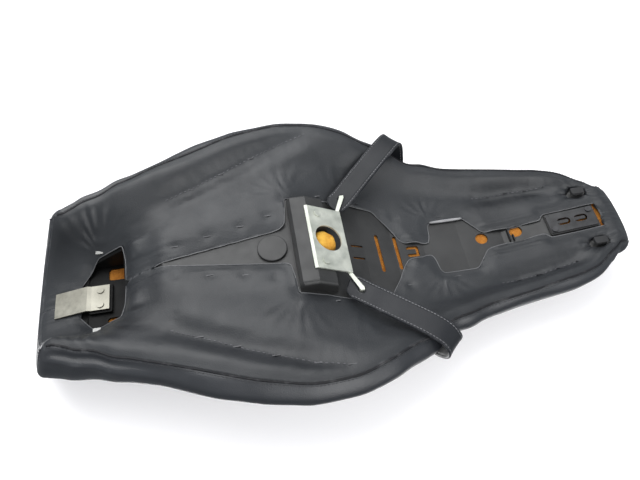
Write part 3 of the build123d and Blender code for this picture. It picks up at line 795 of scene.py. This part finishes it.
FOAM_TREE, _ = tree_of(["foam_core"])
SLOPE = math.radians(30)
HOLE_MOUNT = next(m for m in frame["record"]["mounts"] if m["name"] == "locating_hole")
HOLE_CENTRE = (np.array(HOLE_MOUNT["pos_m"]) - DATUM)[1:]


def foam_ray(origin, direction):
    hit, _, _, _ = FOAM_TREE.ray_cast(Vector(origin), Vector(direction))
    return hit


def foam_row(y, half=40, side=30):
    """One closed half section of the foam: underside, side and top, from the solid itself."""
    xs = [x for x in np.arange(0.002, 0.2, 0.002) if foam_ray((x, y, -0.2), (0, 0, 1)) is not None]
    if not xs:
        return None
    edge = xs[-1]
    under = []
    for k in range(half):
        x = edge * (1 - (1 - k / (half - 1)) ** 1.0) if k else 0.0008
        hit = foam_ray((min(x, edge), y, -0.2), (0, 0, 1))
        under.append((min(x, edge), hit.z))
    cx, cz = edge - 0.020, under[-1][1] + 0.016
    start = math.atan2(under[-1][1] - cz, edge - cx)
    rest = []
    for k in range(1, side):
        ang = start + (math.pi / 2 - start) * k / side
        o = Vector((cx + 0.3 * math.cos(ang), y, cz + 0.3 * math.sin(ang)))
        hit = foam_ray(o, Vector((cx, y, cz)) - o)
        rest.append((hit.x, hit.z) if hit is not None else rest[-1] if rest else under[-1])
    for k in range(side):
        x = max(cx * (1 - (k + 1) / side), 0.0008)
        hit = foam_ray((x, y, 0.3), (0, 0, -1))
        rest.append((x, hit.z) if hit is not None else (x, rest[-1][1]))
    pts = under + rest
    return [(p[0], y, p[1]) for p in pts]


def foam():
    lo, hi = node_box("foam_core")
    ys = np.arange(lo.y + 0.004, hi.y - 0.003, 0.0035)
    rows = [r for r in (foam_row(y) for y in ys) if r is not None]
    g = np.array(rows)
    x, y, z = g[..., 0], g[..., 1], g[..., 2]
    bumps = fbm(g, 130, 3, 2.0) * 0.5 * MM
    push = np.zeros(x.shape)
    for wx, wy, w, dz in FOAM_PUSH:
        r = np.hypot(np.abs(x) - abs(wx) if wx < 0 else x - wx, y - wy)
        push += dz * MM * smooth01(1.25 - r / w)
    down = np.zeros(x.shape)
    down[:, :40] = 1
    g[..., 2] += bumps * down - push * down
    rel = g - np.array([0, HOLE_CENTRE[0], HOLE_CENTRE[1]])
    axis = np.array([0, -math.sin(SLOPE), math.cos(SLOPE)])
    depth = rel @ axis
    off = np.linalg.norm(rel - depth[..., None] * axis, axis=2)
    want = (0.0035 + 0.0014 * np.cos(off * 260) + 0.012 * (off / 0.0178) ** 5) + 2 * bumps
    move = np.where((off < 0.0178) & (depth > 0) & (down > 0), np.minimum(want - depth, 0), 0)
    g += move[..., None] * axis
    left = g[:, ::-1][:, :-1].copy()
    left[..., 0] *= -1
    full = np.concatenate([g, left], 1)
    n, cols = full.shape[:2]
    faces = grid_faces(n, cols)
    close = [(i * cols + cols - 1, i * cols, (i + 1) * cols, (i + 1) * cols + cols - 1) for i in range(n - 1)]
    ob = make_object("foam_cushion", full.reshape(-1, 3), [tuple(f) for f in faces] + close)
    merge(ob, 1e-6)
    return ob


# places where soft foam swells into an opening of the pan: x (negative for both sides), y, radius, depth in mm
FOAM_PUSH = ((0.0045, 0.198, 0.010, 1.5), (0.0045, 0.243, 0.010, 1.5), (0, 0.1045, 0.010, 1.5))

foam_ob = foam()

# ---------------------------------------------------------------- strap


def march_strap():
    """Follow the solid strap from one end to the other: centre, along, across, normal at each step."""
    tree, _ = tree_of(["grab_strap"])
    co, _ = node_arrays("grab_strap")
    hit, _, _, _ = tree.ray_cast(Vector((0, CROSS_Y, 0.2)), Vector((0, 0, -1)))
    stations = []
    for way in (1, -1):
        c = Vector((0.0, CROSS_Y, hit.z - 0.0017))
        t, w = Vector((way, 0, 0)), Vector((0, 1, 0))
        run, misses = [], 0
        for _ in range(500):
            nn = t.cross(w).normalized() * way
            found = None
            for off in (0.009, -0.009, 0.0, 0.0055, -0.0055):  # beside the middle, clear of the hook holes
                a = tree.ray_cast(c + w * off, nn, 0.012)
                b = tree.ray_cast(c + w * off, -nn, 0.012)
                if a[0] is not None and b[0] is not None and 0.002 < (a[0] - b[0]).length < 0.006:
                    found = (a, b, off)
                    break
            if found is None:
                misses += 1
                if misses > 3:
                    break
            else:
                misses = 0
                a, b, off = found
                c = (a[0] + b[0]) / 2 - w * off
                normal = (a[1] - b[1]).normalized()
                e = tree.ray_cast(c + w * 0.009, w, 0.05)
                f = tree.ray_cast(c - w * 0.009, -w, 0.05)
                if e[0] is not None and f[0] is not None and abs((e[0] - f[0]).length - 0.032) < 0.003:
                    c = (e[0] + f[0]) / 2
                    w = (e[0] - f[0]).normalized()
                w = (w - normal * w.dot(normal)).normalized()
                t_new = w.cross(normal).normalized()
                t = -t_new if t_new.dot(t) < 0 else t_new
                run.append((c.copy(), w.copy(), (normal * way).copy()))
            c = c + t * 0.0025
        stations.append(run)
    path = stations[1][::-1] + stations[0][1:]
    c = np.array([list(p[0]) for p in path])
    w = np.array([list(p[1]) for p in path])
    n = np.array([list(p[2]) for p in path])
    for i in range(1, len(n)):
        if np.dot(n[i], n[i - 1]) < 0:
            n[i] *= -1
        if np.dot(w[i], w[i - 1]) < 0:
            w[i] *= -1
    for arr in (c, w, n):
        for _ in range(10):
            arr[1:-1] = (arr[:-2] + 2 * arr[1:-1] + arr[2:]) / 4
    w /= np.linalg.norm(w, axis=1)[:, None]
    n -= w * np.sum(n * w, 1)[:, None]
    n /= np.linalg.norm(n, axis=1)[:, None]
    return c, w, n


SC, SW, SN = march_strap()
STRAP_HALF = 0.016


def strap_object():
    """Two-ply strap with folded edges: a soft rounded section swept along the marched path."""
    half, thick = STRAP_HALF, 0.00175
    prof = []
    # upper side from -edge to +edge, then the lower side back
    for q in np.linspace(-1, 1, 41):
        lip = 0.50 * MM * gauss((abs(q) - 0.80) / 0.05, 1)  # stitch line sinks
        puff = 0.25 * MM * gauss(q / 0.5, 1)
        prof.append((q * half * 0.985, thick * (1 - 0.75 * max(abs(q) - 0.93, 0) / 0.07) - lip + puff))
    for q in np.linspace(1, -1, 41):
        lip = 0.50 * MM * gauss((abs(q) - 0.80) / 0.05, 1)
        prof.append((q * half * 0.985, -thick * (1 - 0.75 * max(abs(q) - 0.93, 0) / 0.07) + lip))
    prof = np.array(prof)
    total = len(SC)
    rows = []
    for i in range(total):
        share = i / (total - 1)
        narrow = 1.0
        wob = 0.5 * MM * math.sin(i * 0.21) + 0.3 * MM * math.sin(i * 0.083 + 1)
        end = min(i, total - 1 - i)
        if end < 5:  # rounded strap ends
            narrow = math.sqrt(max(1 - ((5 - end) / 5.6) ** 2, 0.05))
        rows.append(SC[i] + SN[i] * wob * 0.4 + np.outer(prof[:, 0] * narrow, SW[i]) + np.outer(prof[:, 1], SN[i]))
    g = np.array(rows)
    cols = g.shape[1]
    faces = grid_faces(total, cols)
    close = []
    for i in range(total - 1):
        a = i * cols + cols - 1
        b = i * cols
        close.append((a, b, b + cols, a + cols))
    ends = [tuple(range(cols))[::-1], tuple((total - 1) * cols + k for k in range(cols))]
    ob = make_object("strap", g.reshape(-1, 3), [tuple(f) for f in faces] + close + ends)
    import bmesh
    bm = bmesh.new()
    bm.from_mesh(ob.data)
    bmesh.ops.recalc_face_normals(bm, faces=bm.faces)
    bm.to_mesh(ob.data)
    bm.free()
    return ob


strap = strap_object()


def tube(name, points, radius, around=6, closed=False):
    """Round cord along points; each ring is set square to the line from its tangent and a fixed +Z."""
    p = np.asarray(points, float)
    n = len(p)
    tan = np.gradient(p, axis=0)
    tan /= np.maximum(np.linalg.norm(tan, axis=1)[:, None], 1e-12)
    ref = np.array([0.0, 0.0, 1.0])
    side = np.cross(tan, ref)
    side /= np.maximum(np.linalg.norm(side, axis=1)[:, None], 1e-9)
    upv = np.cross(side, tan)
    ang = 2 * math.pi * np.arange(around) / around
    r = np.broadcast_to(np.asarray(radius, float), (n,))
    verts = p[:, None] + r[:, None, None] * (
        np.cos(ang)[None, :, None] * side[:, None] + np.sin(ang)[None, :, None] * upv[:, None]
    )
    faces = []
    for i in range(n - 1):
        for k in range(around):
            a, b = i * around + k, i * around + (k + 1) % around
            faces.append((a, b, b + around, a + around))
    faces += [tuple(range(around))[::-1], tuple((n - 1) * around + k for k in range(around))]
    ob = make_object(name, verts.reshape(-1, 3), faces)
    return ob


def resample(points, step):
    p = np.asarray(points, float)
    keep = [0] + [i for i in range(1, len(p)) if np.linalg.norm(p[i] - p[i - 1]) > 1e-6]
    p = p[keep]
    run = np.concatenate([[0], np.cumsum(np.linalg.norm(np.diff(p, axis=0), axis=1))])
    at = np.linspace(0, run[-1], max(int(run[-1] / step), 2))
    q = np.stack([np.interp(at, run, p[:, c]) for c in range(3)], -1)
    for _ in range(2):
        q[1:-1] = (q[:-2] + 2 * q[1:-1] + q[2:]) / 4
    return q


def cut_edge_lines(side):
    """The lower cover's cut edge as it lies after the skin is shaped, one line for each opening."""
    g = SKIRT_GRID[side][N_NOSE:N_NOSE + len(ROWS["y"])]
    lines, run = [], []
    for i in range(len(g)):
        if ROWS["open"][i] > 0:
            run.append(g[i, 0])
        elif run:
            lines.append(run)
            run = []
    lines.append(run)
    return [resample(np.array(r) + [0, 0, -0.0002], 0.0025) for r in lines if len(r) > 3]


def join(name, objects):
    verts, faces = [], []
    for ob in objects:
        base = len(verts)
        verts += [tuple(np.array(v.co) - DATUM) for v in ob.data.vertices]
        faces += [tuple(i + base for i in f.vertices) for f in ob.data.polygons]
        bpy.data.objects.remove(ob)
    return make_object(name, verts, faces)


# pale cords along the cover's cut edges; their colour is a painted highlight for the light the edges catch
cut_edges = join("cut_edges", [tube("edge", line, 0.00062) for side in (1, -1) for line in cut_edge_lines(side)])


def recess_fold():
    """Vinyl turned down over the front wall of the rear recess, thick, and coloured pale as a painted highlight where
    the wall's rim catches the light.
    """
    g = SKIRT_GRID[1][N_NOSE:N_NOSE + len(ROWS["y"])]
    line = [g[i, 0] for i in range(len(g)) if 0.134 <= g[i, 0, 1] <= 0.181 and ROWS["open"][i] > 0.03]
    line = resample(np.array(line) + [-0.0005, 0, -0.0006], 0.0025)
    t = np.linspace(0, 1, len(line))
    return tube("recess_fold", line, 0.0019 * (0.55 + 0.45 * np.sin(math.pi * t) ** 0.4), 10)


fold = recess_fold()


def plug_gap_shade_ring():
    """Dark ring round the plug's flange: painted shade for the dark gap between plug and pan."""
    lo, hi = node_box("pan_plug")
    r = (hi.x - lo.x) / 2
    cy = (lo.y + hi.y) / 2
    pts = [(r * math.cos(a), cy + r * math.sin(a), lo.z + 0.0009) for a in np.linspace(0, 2 * math.pi, 60)]
    return tube("plug_gap_shade_ring", pts, 0.0010)


ring = plug_gap_shade_ring()


def punch(ob, places, radius):
    """Round holes through an object, up and down."""
    for k, (x, y) in enumerate(places):
        ring = [(x + radius * math.cos(2 * math.pi * i / 24), y + radius * math.sin(2 * math.pi * i / 24))
                for i in range(24)]
        verts = [(a, b, -0.03) for a, b in ring] + [(a, b, 0.03) for a, b in ring]
        faces = [(i, (i + 1) % 24, 24 + (i + 1) % 24, 24 + i) for i in range(24)]
        faces += [tuple(range(24))[::-1], tuple(range(24, 48))]
        cutter = make_object("cutter", verts, faces, smooth=False)
        m = ob.modifiers.new("hole", "BOOLEAN")
        m.operation, m.object, m.solver = "DIFFERENCE", cutter, "EXACT"
        bpy.context.view_layer.update()
        done = bpy.data.meshes.new_from_object(ob.evaluated_get(bpy.context.evaluated_depsgraph_get()))
        ob.modifiers.clear()
        ob.data = done
        bpy.data.objects.remove(cutter)


HOOK = (0.067, 0.021)
punch(strap, [HOOK, (-HOOK[0], HOOK[1])], 0.0042)


def strap_line(q, lift):
    p = SC + SW * (q * STRAP_HALF) + SN * lift
    return p[3:-3], (SN * np.sign(lift))[3:-3]


strap_stitches = stitch_mesh(
    "strap_stitches",
    [strap_line(0.80, 0.00135), strap_line(-0.80, 0.00135), strap_line(0.80, -0.00135), strap_line(-0.80, -0.00135)],
    0.0040, 0.0029, 0.00045, 0.0002,
)

# ---------------------------------------------------------------- materials


def new_material(name):
    m = bpy.data.materials.new(name)
    m.use_nodes = True
    nt = m.node_tree
    nt.nodes.clear()
    out = nt.nodes.new("ShaderNodeOutputMaterial")
    bsdf = nt.nodes.new("ShaderNodeBsdfPrincipled")
    nt.links.new(bsdf.outputs[0], out.inputs[0])
    coord = nt.nodes.new("ShaderNodeTexCoord")
    return m, nt, bsdf, coord


def noise_node(nt, coord, scale, detail=4, rough=0.55):
    n = nt.nodes.new("ShaderNodeTexNoise")
    n.inputs["Scale"].default_value = scale
    n.inputs["Detail"].default_value = detail
    n.inputs["Roughness"].default_value = rough
    nt.links.new(coord.outputs["Object"], n.inputs["Vector"])
    return n


def ramp_node(nt, source, stops):
    r = nt.nodes.new("ShaderNodeValToRGB")
    el = r.color_ramp.elements
    el[0].position, el[0].color = stops[0][0], (*stops[0][1], 1)
    el[1].position, el[1].color = stops[1][0], (*stops[1][1], 1)
    for pos, col in stops[2:]:
        e = el.new(pos)
        e.color = (*col, 1)
    nt.links.new(source, r.inputs[0])
    return r


def bump_node(nt, height, strength, distance, normal=None):
    b = nt.nodes.new("ShaderNodeBump")
    b.inputs["Strength"].default_value = strength
    b.inputs["Distance"].default_value = distance
    nt.links.new(height, b.inputs["Height"])
    if normal is not None:
        nt.links.new(normal, b.inputs["Normal"])
    return b


def vinyl(name, dark, light, rough, grain=1.0):
    m, nt, b, co = new_material(name)
    big = noise_node(nt, co, 9, 4)
    col = ramp_node(nt, big.outputs["Fac"], [(0.3, dark), (0.75, light)])
    geo = nt.nodes.new("ShaderNodeNewGeometry")
    worn = noise_node(nt, co, 60, 6, 0.7)
    edge = ramp_node(nt, geo.outputs["Pointiness"], [(0.52, (0, 0, 0)), (0.60, (1, 1, 1))])
    mul = nt.nodes.new("ShaderNodeMath")
    mul.operation = "MULTIPLY"
    wr = ramp_node(nt, worn.outputs["Fac"], [(0.5, (0, 0, 0)), (0.72, (1, 1, 1))])
    nt.links.new(edge.outputs[0], mul.inputs[0])
    nt.links.new(wr.outputs[0], mul.inputs[1])
    mix = nt.nodes.new("ShaderNodeMix")
    mix.data_type = "RGBA"
    nt.links.new(mul.outputs[0], mix.inputs["Factor"])
    nt.links.new(col.outputs[0], mix.inputs["A"])
    mix.inputs["B"].default_value = (0.16, 0.16, 0.165, 1)
    nt.links.new(mix.outputs["Result"], b.inputs["Base Color"])
    rn = noise_node(nt, co, 35, 5)
    rr = ramp_node(nt, rn.outputs["Fac"], [(0.3, (rough - 0.07,) * 3), (0.7, (rough + 0.08,) * 3)])
    nt.links.new(rr.outputs[0], b.inputs["Roughness"])
    vor = nt.nodes.new("ShaderNodeTexVoronoi")
    vor.inputs["Scale"].default_value = 900
    nt.links.new(co.outputs["Object"], vor.inputs["Vector"])
    fine = noise_node(nt, co, 1500, 2)
    b1 = bump_node(nt, vor.outputs["Distance"], 0.35 * grain, 0.0004)
    b2 = bump_node(nt, fine.outputs["Fac"], 0.25 * grain, 0.0003, b1.outputs[0])
    wr2 = noise_node(nt, co, 130, 3)
    b3 = bump_node(nt, wr2.outputs["Fac"], 0.20, 0.0008, b2.outputs[0])
    nt.links.new(b3.outputs[0], b.inputs["Normal"])
    b.inputs["Specular IOR Level"].default_value = 0.55
    b.inputs["Sheen Weight"].default_value = 0.03
    b.inputs["Sheen Roughness"].default_value = 0.45
    b.inputs["Sheen Tint"].default_value = (0.75, 0.8, 0.9, 1)
    return m


def plastic(name, dark, light, rough):
    m, nt, b, co = new_material(name)
    n = noise_node(nt, co, 22, 5)
    col = ramp_node(nt, n.outputs["Fac"], [(0.35, dark), (0.7, light)])
    nt.links.new(col.outputs[0], b.inputs["Base Color"])
    r = noise_node(nt, co, 70, 4)
    rr = ramp_node(nt, r.outputs["Fac"], [(0.3, (rough - 0.08,) * 3), (0.75, (rough + 0.1,) * 3)])
    nt.links.new(rr.outputs[0], b.inputs["Roughness"])
    f = noise_node(nt, co, 1100, 3)
    bump = bump_node(nt, f.outputs["Fac"], 0.25, 0.0003)
    nt.links.new(bump.outputs[0], b.inputs["Normal"])
    return m


def metal(name, dark, light, rough, metallic=1.0):
    m, nt, b, co = new_material(name)
    n = noise_node(nt, co, 45, 6, 0.65)
    col = ramp_node(nt, n.outputs["Fac"], [(0.3, dark), (0.7, light)])
    nt.links.new(col.outputs[0], b.inputs["Base Color"])
    b.inputs["Metallic"].default_value = metallic
    r = noise_node(nt, co, 90, 5)
    rr = ramp_node(nt, r.outputs["Fac"], [(0.3, (rough - 0.08,) * 3), (0.75, (rough + 0.15,) * 3)])
    nt.links.new(rr.outputs[0], b.inputs["Roughness"])
    s = noise_node(nt, co, 700, 4)
    bump = bump_node(nt, s.outputs["Fac"], 0.15, 0.0002)
    nt.links.new(bump.outputs[0], b.inputs["Normal"])
    return m


def foam_material():
    m, nt, b, co = new_material("foam_orange")
    n = noise_node(nt, co, 60, 5)
    # painted shade: the base foam colour is kept dark for the foam that lies in shadow deep in the pan's slots
    col = ramp_node(nt, n.outputs["Fac"], [(0.3, (0.26, 0.09, 0.015)), (0.7, (0.46, 0.19, 0.035))])
    lit_foam = ramp_node(nt, n.outputs["Fac"], [(0.3, (0.44, 0.19, 0.025)), (0.7, (0.72, 0.43, 0.075))])
    xyz = nt.nodes.new("ShaderNodeSeparateXYZ")
    nt.links.new(co.outputs["Object"], xyz.inputs[0])
    low = nt.nodes.new("ShaderNodeMapRange")  # painted light: the foam that swells down into the bracket's hole gets the lighter, yellower colour of lit foam
    low.inputs["From Min"].default_value, low.inputs["From Max"].default_value = DATUM[2] + 0.001, DATUM[2] - 0.007
    nt.links.new(xyz.outputs["Z"], low.inputs["Value"])
    mix = nt.nodes.new("ShaderNodeMix")
    mix.data_type = "RGBA"
    nt.links.new(low.outputs[0], mix.inputs["Factor"])
    nt.links.new(col.outputs[0], mix.inputs["A"])
    nt.links.new(lit_foam.outputs[0], mix.inputs["B"])
    nt.links.new(mix.outputs["Result"], b.inputs["Base Color"])
    b.inputs["Roughness"].default_value = 0.95
    b.inputs["Specular IOR Level"].default_value = 0.1
    v = nt.nodes.new("ShaderNodeTexVoronoi")
    v.inputs["Scale"].default_value = 700
    nt.links.new(co.outputs["Object"], v.inputs["Vector"])
    bump = bump_node(nt, v.outputs["Distance"], 0.7, 0.0008)
    nt.links.new(bump.outputs[0], b.inputs["Normal"])
    return m


VINYL = vinyl("vinyl_black", (0.011, 0.012, 0.015), (0.018, 0.020, 0.024), 0.36)
VINYL_UNDER = vinyl("vinyl_under", (0.010, 0.011, 0.013), (0.019, 0.021, 0.024), 0.44)
VINYL_UNDER.node_tree.nodes["Principled BSDF"].inputs["Specular IOR Level"].default_value = 0.44
# painted shade: the welts along the seam are darker and duller than the vinyl, for the shaded groove of the seam
SEAM_SHADE = vinyl("seam_painted_shade", (0.004, 0.004, 0.005), (0.008, 0.008, 0.010), 0.55)
SEAM_SHADE.node_tree.nodes["Principled BSDF"].inputs["Specular IOR Level"].default_value = 0.25
SEAM_THREAD = plastic("thread_seam", (0.012, 0.012, 0.014), (0.035, 0.035, 0.040), 0.5)
# painted highlight: the cut-edge cords are pale grey for the light caught along the edges
CUT_EDGE_HIGHLIGHT = plastic("vinyl_cut_edge_painted_highlight", (0.075, 0.077, 0.080), (0.13, 0.13, 0.135), 0.5)
STRAP_MAT = vinyl("strap_black", (0.007, 0.008, 0.010), (0.013, 0.014, 0.017), 0.46, 0.7)
STRAP_MAT.node_tree.nodes["Principled BSDF"].inputs["Specular IOR Level"].default_value = 0.27
TUFT_THREAD = plastic("thread_grey", (0.05, 0.05, 0.055), (0.11, 0.11, 0.12), 0.5)
STRAP_THREAD = plastic("thread_strap", (0.10, 0.10, 0.105), (0.20, 0.20, 0.21), 0.5)
CLIP = metal("clip_steel", (0.12, 0.12, 0.12), (0.34, 0.34, 0.33), 0.42)
# painted highlight: the fold over the recess wall is pale grey for the light on its rim
FOLD_HIGHLIGHT = plastic("recess_fold_painted_highlight", (0.16, 0.16, 0.165), (0.34, 0.34, 0.35), 0.4)


def paint_nose_shade(material, y_dark, y_plain, share):
    """Paint shade into a material: darker and less glossy toward the nose, where the deep pocket lies in shadow."""
    nt = material.node_tree
    bsdf = next(n for n in nt.nodes if n.type == "BSDF_PRINCIPLED")
    source = bsdf.inputs["Base Color"].links[0].from_socket
    coord = next(n for n in nt.nodes if n.type == "TEX_COORD")
    xyz = nt.nodes.new("ShaderNodeSeparateXYZ")
    nt.links.new(coord.outputs["Object"], xyz.inputs[0])
    rng = nt.nodes.new("ShaderNodeMapRange")
    rng.inputs["From Min"].default_value, rng.inputs["From Max"].default_value = y_dark, y_plain
    rng.inputs["To Min"].default_value, rng.inputs["To Max"].default_value = share, 1.0
    nt.links.new(xyz.outputs["Y"], rng.inputs["Value"])
    mul = nt.nodes.new("ShaderNodeVectorMath")
    mul.operation = "SCALE"
    nt.links.new(source, mul.inputs[0])
    nt.links.new(rng.outputs[0], mul.inputs["Scale"])
    nt.links.new(mul.outputs[0], bsdf.inputs["Base Color"])
    gloss = nt.nodes.new("ShaderNodeMath")
    gloss.operation = "MULTIPLY"
    gloss.inputs[1].default_value = 0.42
    nt.links.new(rng.outputs[0], gloss.inputs[0])
    nt.links.new(gloss.outputs[0], bsdf.inputs["Specular IOR Level"])


PAN = plastic("pan_black", (0.014, 0.014, 0.014), (0.026, 0.026, 0.026), 0.40)
# painted shade: the pan's colour and gloss drop toward the nose pocket
paint_nose_shade(PAN, DATUM[1] - 0.262, DATUM[1] - 0.235, 0.22)
ZINC = metal("zinc_plate", (0.42, 0.44, 0.39), (0.68, 0.69, 0.63), 0.60)
TONGUE = metal("tongue_steel", (0.16, 0.155, 0.13), (0.33, 0.32, 0.275), 0.42)
BLACK_STEEL = metal("black_steel", (0.02, 0.02, 0.021), (0.05, 0.05, 0.052), 0.34, 0.3)
WIRE = metal("staple_wire", (0.05, 0.05, 0.052), (0.12, 0.12, 0.125), 0.42)
RUBBER = plastic("rubber_black", (0.010, 0.010, 0.011), (0.022, 0.022, 0.023), 0.7)
FOAM = foam_material()


def paint(ob, material):
    ob.data.materials.clear()
    ob.data.materials.append(material)


for ob, mat, slot in (
    (rider, VINYL, "vinyl"), (pillion, VINYL, "vinyl"), (skirt_l, VINYL_UNDER, "vinyl"),
    (skirt_r, VINYL_UNDER, "vinyl"), (welts[0], SEAM_SHADE, "vinyl"), (welts[1], SEAM_SHADE, "vinyl"),
    (stitches, SEAM_THREAD, "vinyl"), (strap, STRAP_MAT, "strap_vinyl"), (strap_stitches, STRAP_THREAD, "strap_vinyl"),
    (foam_ob, FOAM, "foam"), (cut_edges, CUT_EDGE_HIGHLIGHT, "vinyl"), (fold, FOLD_HIGHLIGHT, "vinyl"), (tufts, TUFT_THREAD, "vinyl"),
    (ring, RUBBER, "rubber"),
):
    paint(ob, mat)

for ob in (rider, pillion, skirt_l, skirt_r):
    thicken(ob, 0.0013)

for name, mat in {
    "base_pan": PAN, "pan_plug": PAN, "strap_bracket": ZINC, "bracket_rivets": ZINC,
    "front_tongue": TONGUE, "tongue_rivets": TONGUE, "tongue_backing_plate": ZINC,
    "rear_slot_plate": BLACK_STEEL, "rear_plate_screws": WIRE, "rear_bumpers": RUBBER,
    "staples_rider": WIRE, "staples_pillion": WIRE, "staples_centre": WIRE, "recess_clips": CLIP,
}.items():
    paint(NODES[name], mat)

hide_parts("cover_rider_panel")
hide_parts("cover_pillion_panel")
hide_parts("cover_skirt_left")
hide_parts("cover_skirt_right")
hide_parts("foam_core")
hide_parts("grab_strap")
for ob in (rider, pillion, skirt_l, skirt_r, stitches, *welts, foam_ob, cut_edges, fold, tufts, ring):
    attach(ob, "seat")
for ob in (strap, strap_stitches):
    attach(ob, "strap")

# ---------------------------------------------------------------- floor, light, camera


def floor_material(name, colour, glow):
    """Pale floor that is seen, and lights pass, only from its front side."""
    m = bpy.data.materials.new(name)
    m.use_nodes = True
    nt = m.node_tree
    nt.nodes.clear()
    out = nt.nodes.new("ShaderNodeOutputMaterial")
    mix = nt.nodes.new("ShaderNodeMixShader")
    geo = nt.nodes.new("ShaderNodeNewGeometry")
    clear = nt.nodes.new("ShaderNodeBsdfTransparent")
    diff = nt.nodes.new("ShaderNodeBsdfDiffuse")
    diff.inputs[0].default_value = (*colour, 1)
    em = nt.nodes.new("ShaderNodeEmission")
    em.inputs[0].default_value = (*colour, 1)
    # the lamps fade with distance, so the floor's own light takes over there
    reach = nt.nodes.new("ShaderNodeVectorMath")
    reach.operation = "LENGTH"
    nt.links.new(geo.outputs["Position"], reach.inputs[0])
    far = nt.nodes.new("ShaderNodeMapRange")
    far.interpolation_type = "SMOOTHSTEP"
    far.inputs["From Min"].default_value, far.inputs["From Max"].default_value = 0.6, 4.5
    far.inputs["To Min"].default_value, far.inputs["To Max"].default_value = glow, 1.0
    nt.links.new(reach.outputs["Value"], far.inputs["Value"])
    nt.links.new(far.outputs[0], em.inputs[1])
    both = nt.nodes.new("ShaderNodeAddShader")
    nt.links.new(diff.outputs[0], both.inputs[0])
    nt.links.new(em.outputs[0], both.inputs[1])
    nt.links.new(geo.outputs["Backfacing"], mix.inputs[0])
    nt.links.new(both.outputs[0], mix.inputs[1])
    nt.links.new(clear.outputs[0], mix.inputs[2])
    nt.links.new(mix.outputs[0], out.inputs[0])
    return m


def floor(name, z, facing, material):
    s = 30.0
    quad = [(-s, -s, z), (s, -s, z), (s, s, z), (-s, s, z)]
    face = (0, 1, 2, 3) if facing > 0 else (3, 2, 1, 0)
    ob = make_object(name, quad, [face], smooth=False)
    paint(ob, material)
    ob.visible_diffuse = False
    ob.visible_glossy = False
    ob.visible_transmission = False
    ob.visible_shadow = False
    return ob


lo, hi = (Vector(c) - Vector(DATUM) for c in CAD_BOX)
floor("floor_under_photo", hi.z + 0.004, -1, floor_material("floor_far", (0.86, 0.845, 0.85), 0.23))
floor("floor_below", lo.z - 0.002, 1, floor_material("floor_near", (0.90, 0.90, 0.905), 0.22))


def area(name, location, target, size, power, shine=1.0):
    data = bpy.data.lights.new(name, "AREA")
    data.shape = "RECTANGLE"
    data.size, data.size_y = size
    data.energy = power
    data.specular_factor = shine
    ob = bpy.data.objects.new(name, data)
    ob.location = Vector(location) + Vector(DATUM)
    ob.rotation_mode = "QUATERNION"
    ob.rotation_quaternion = (Vector(target) - Vector(location)).to_track_quat("-Z", "Y")
    bpy.context.scene.collection.objects.link(ob)
    return ob


# below the seat, for the view of its underside
area("key_below", (0.75, -0.35, -1.15), (0, 0, 0), (1.5, 1.9), 29, 0.8)
area("fill_below", (-1.15, 0.45, -0.75), (0, 0.05, 0), (1.2, 1.4), 17, 0.9)
# above the seat, for the other views
area("key_above", (0.55, -0.45, 1.35), (0, 0, 0), (1.0, 1.4), 21)
area("fill_above", (-0.15, 0.6, 1.5), (0, 0, 0), (1.2, 1.2), 6, 0.45)

world = bpy.data.worlds.new("studio")
bpy.context.scene.world = world
world.use_nodes = True
wt = world.node_tree
back = wt.nodes["Background"]
back.inputs[0].default_value = (0.92, 0.96, 1.0, 1)
# the sky over the cushion is dimmer than the one below it; seen directly it is plain white
sky, sky_z = wt.nodes.new("ShaderNodeTexCoord"), wt.nodes.new("ShaderNodeSeparateXYZ")
wt.links.new(sky.outputs["Generated"], sky_z.inputs[0])
dim = wt.nodes.new("ShaderNodeMapRange")
dim.interpolation_type = "SMOOTHSTEP"
dim.inputs["From Min"].default_value, dim.inputs["From Max"].default_value = -0.15, 0.30
dim.inputs["To Min"].default_value, dim.inputs["To Max"].default_value = 0.74, 0.26
wt.links.new(sky_z.outputs["Z"], dim.inputs["Value"])
path = wt.nodes.new("ShaderNodeLightPath")
seen = wt.nodes.new("ShaderNodeMix")
wt.links.new(path.outputs["Is Camera Ray"], seen.inputs["Factor"])
wt.links.new(dim.outputs[0], seen.inputs["A"])
seen.inputs["B"].default_value = 1.0
wt.links.new(seen.outputs["Result"], back.inputs[1])

E, PHI = math.radians(57), math.radians(9.5)
FOCAL, DIST = 615.0, 0.750
right = Vector((-math.sin(PHI), math.cos(PHI), 0))
upward = Vector((math.sin(E) * math.cos(PHI), math.sin(E) * math.sin(PHI), -math.cos(E)))
view = Vector((math.cos(E) * math.cos(PHI), math.cos(E) * math.sin(PHI), math.sin(E)))
eye = -DIST * (view + right * ((334 - 320) / FOCAL) + upward * ((240 - 245) / FOCAL))
cam_data = bpy.data.cameras.new("camera")
cam_data.sensor_width = 36
cam_data.lens = FOCAL / 640 * 36
cam_data.clip_start, cam_data.clip_end = 0.01, 50
cam = bpy.data.objects.new("camera", cam_data)
rot = Matrix((right, upward, -view)).transposed()
cam.matrix_world = Matrix.Translation(eye + Vector(DATUM)) @ rot.to_4x4()
bpy.context.scene.collection.objects.link(cam)
bpy.context.scene.camera = cam
bpy.context.scene.view_settings.view_transform = "Standard"
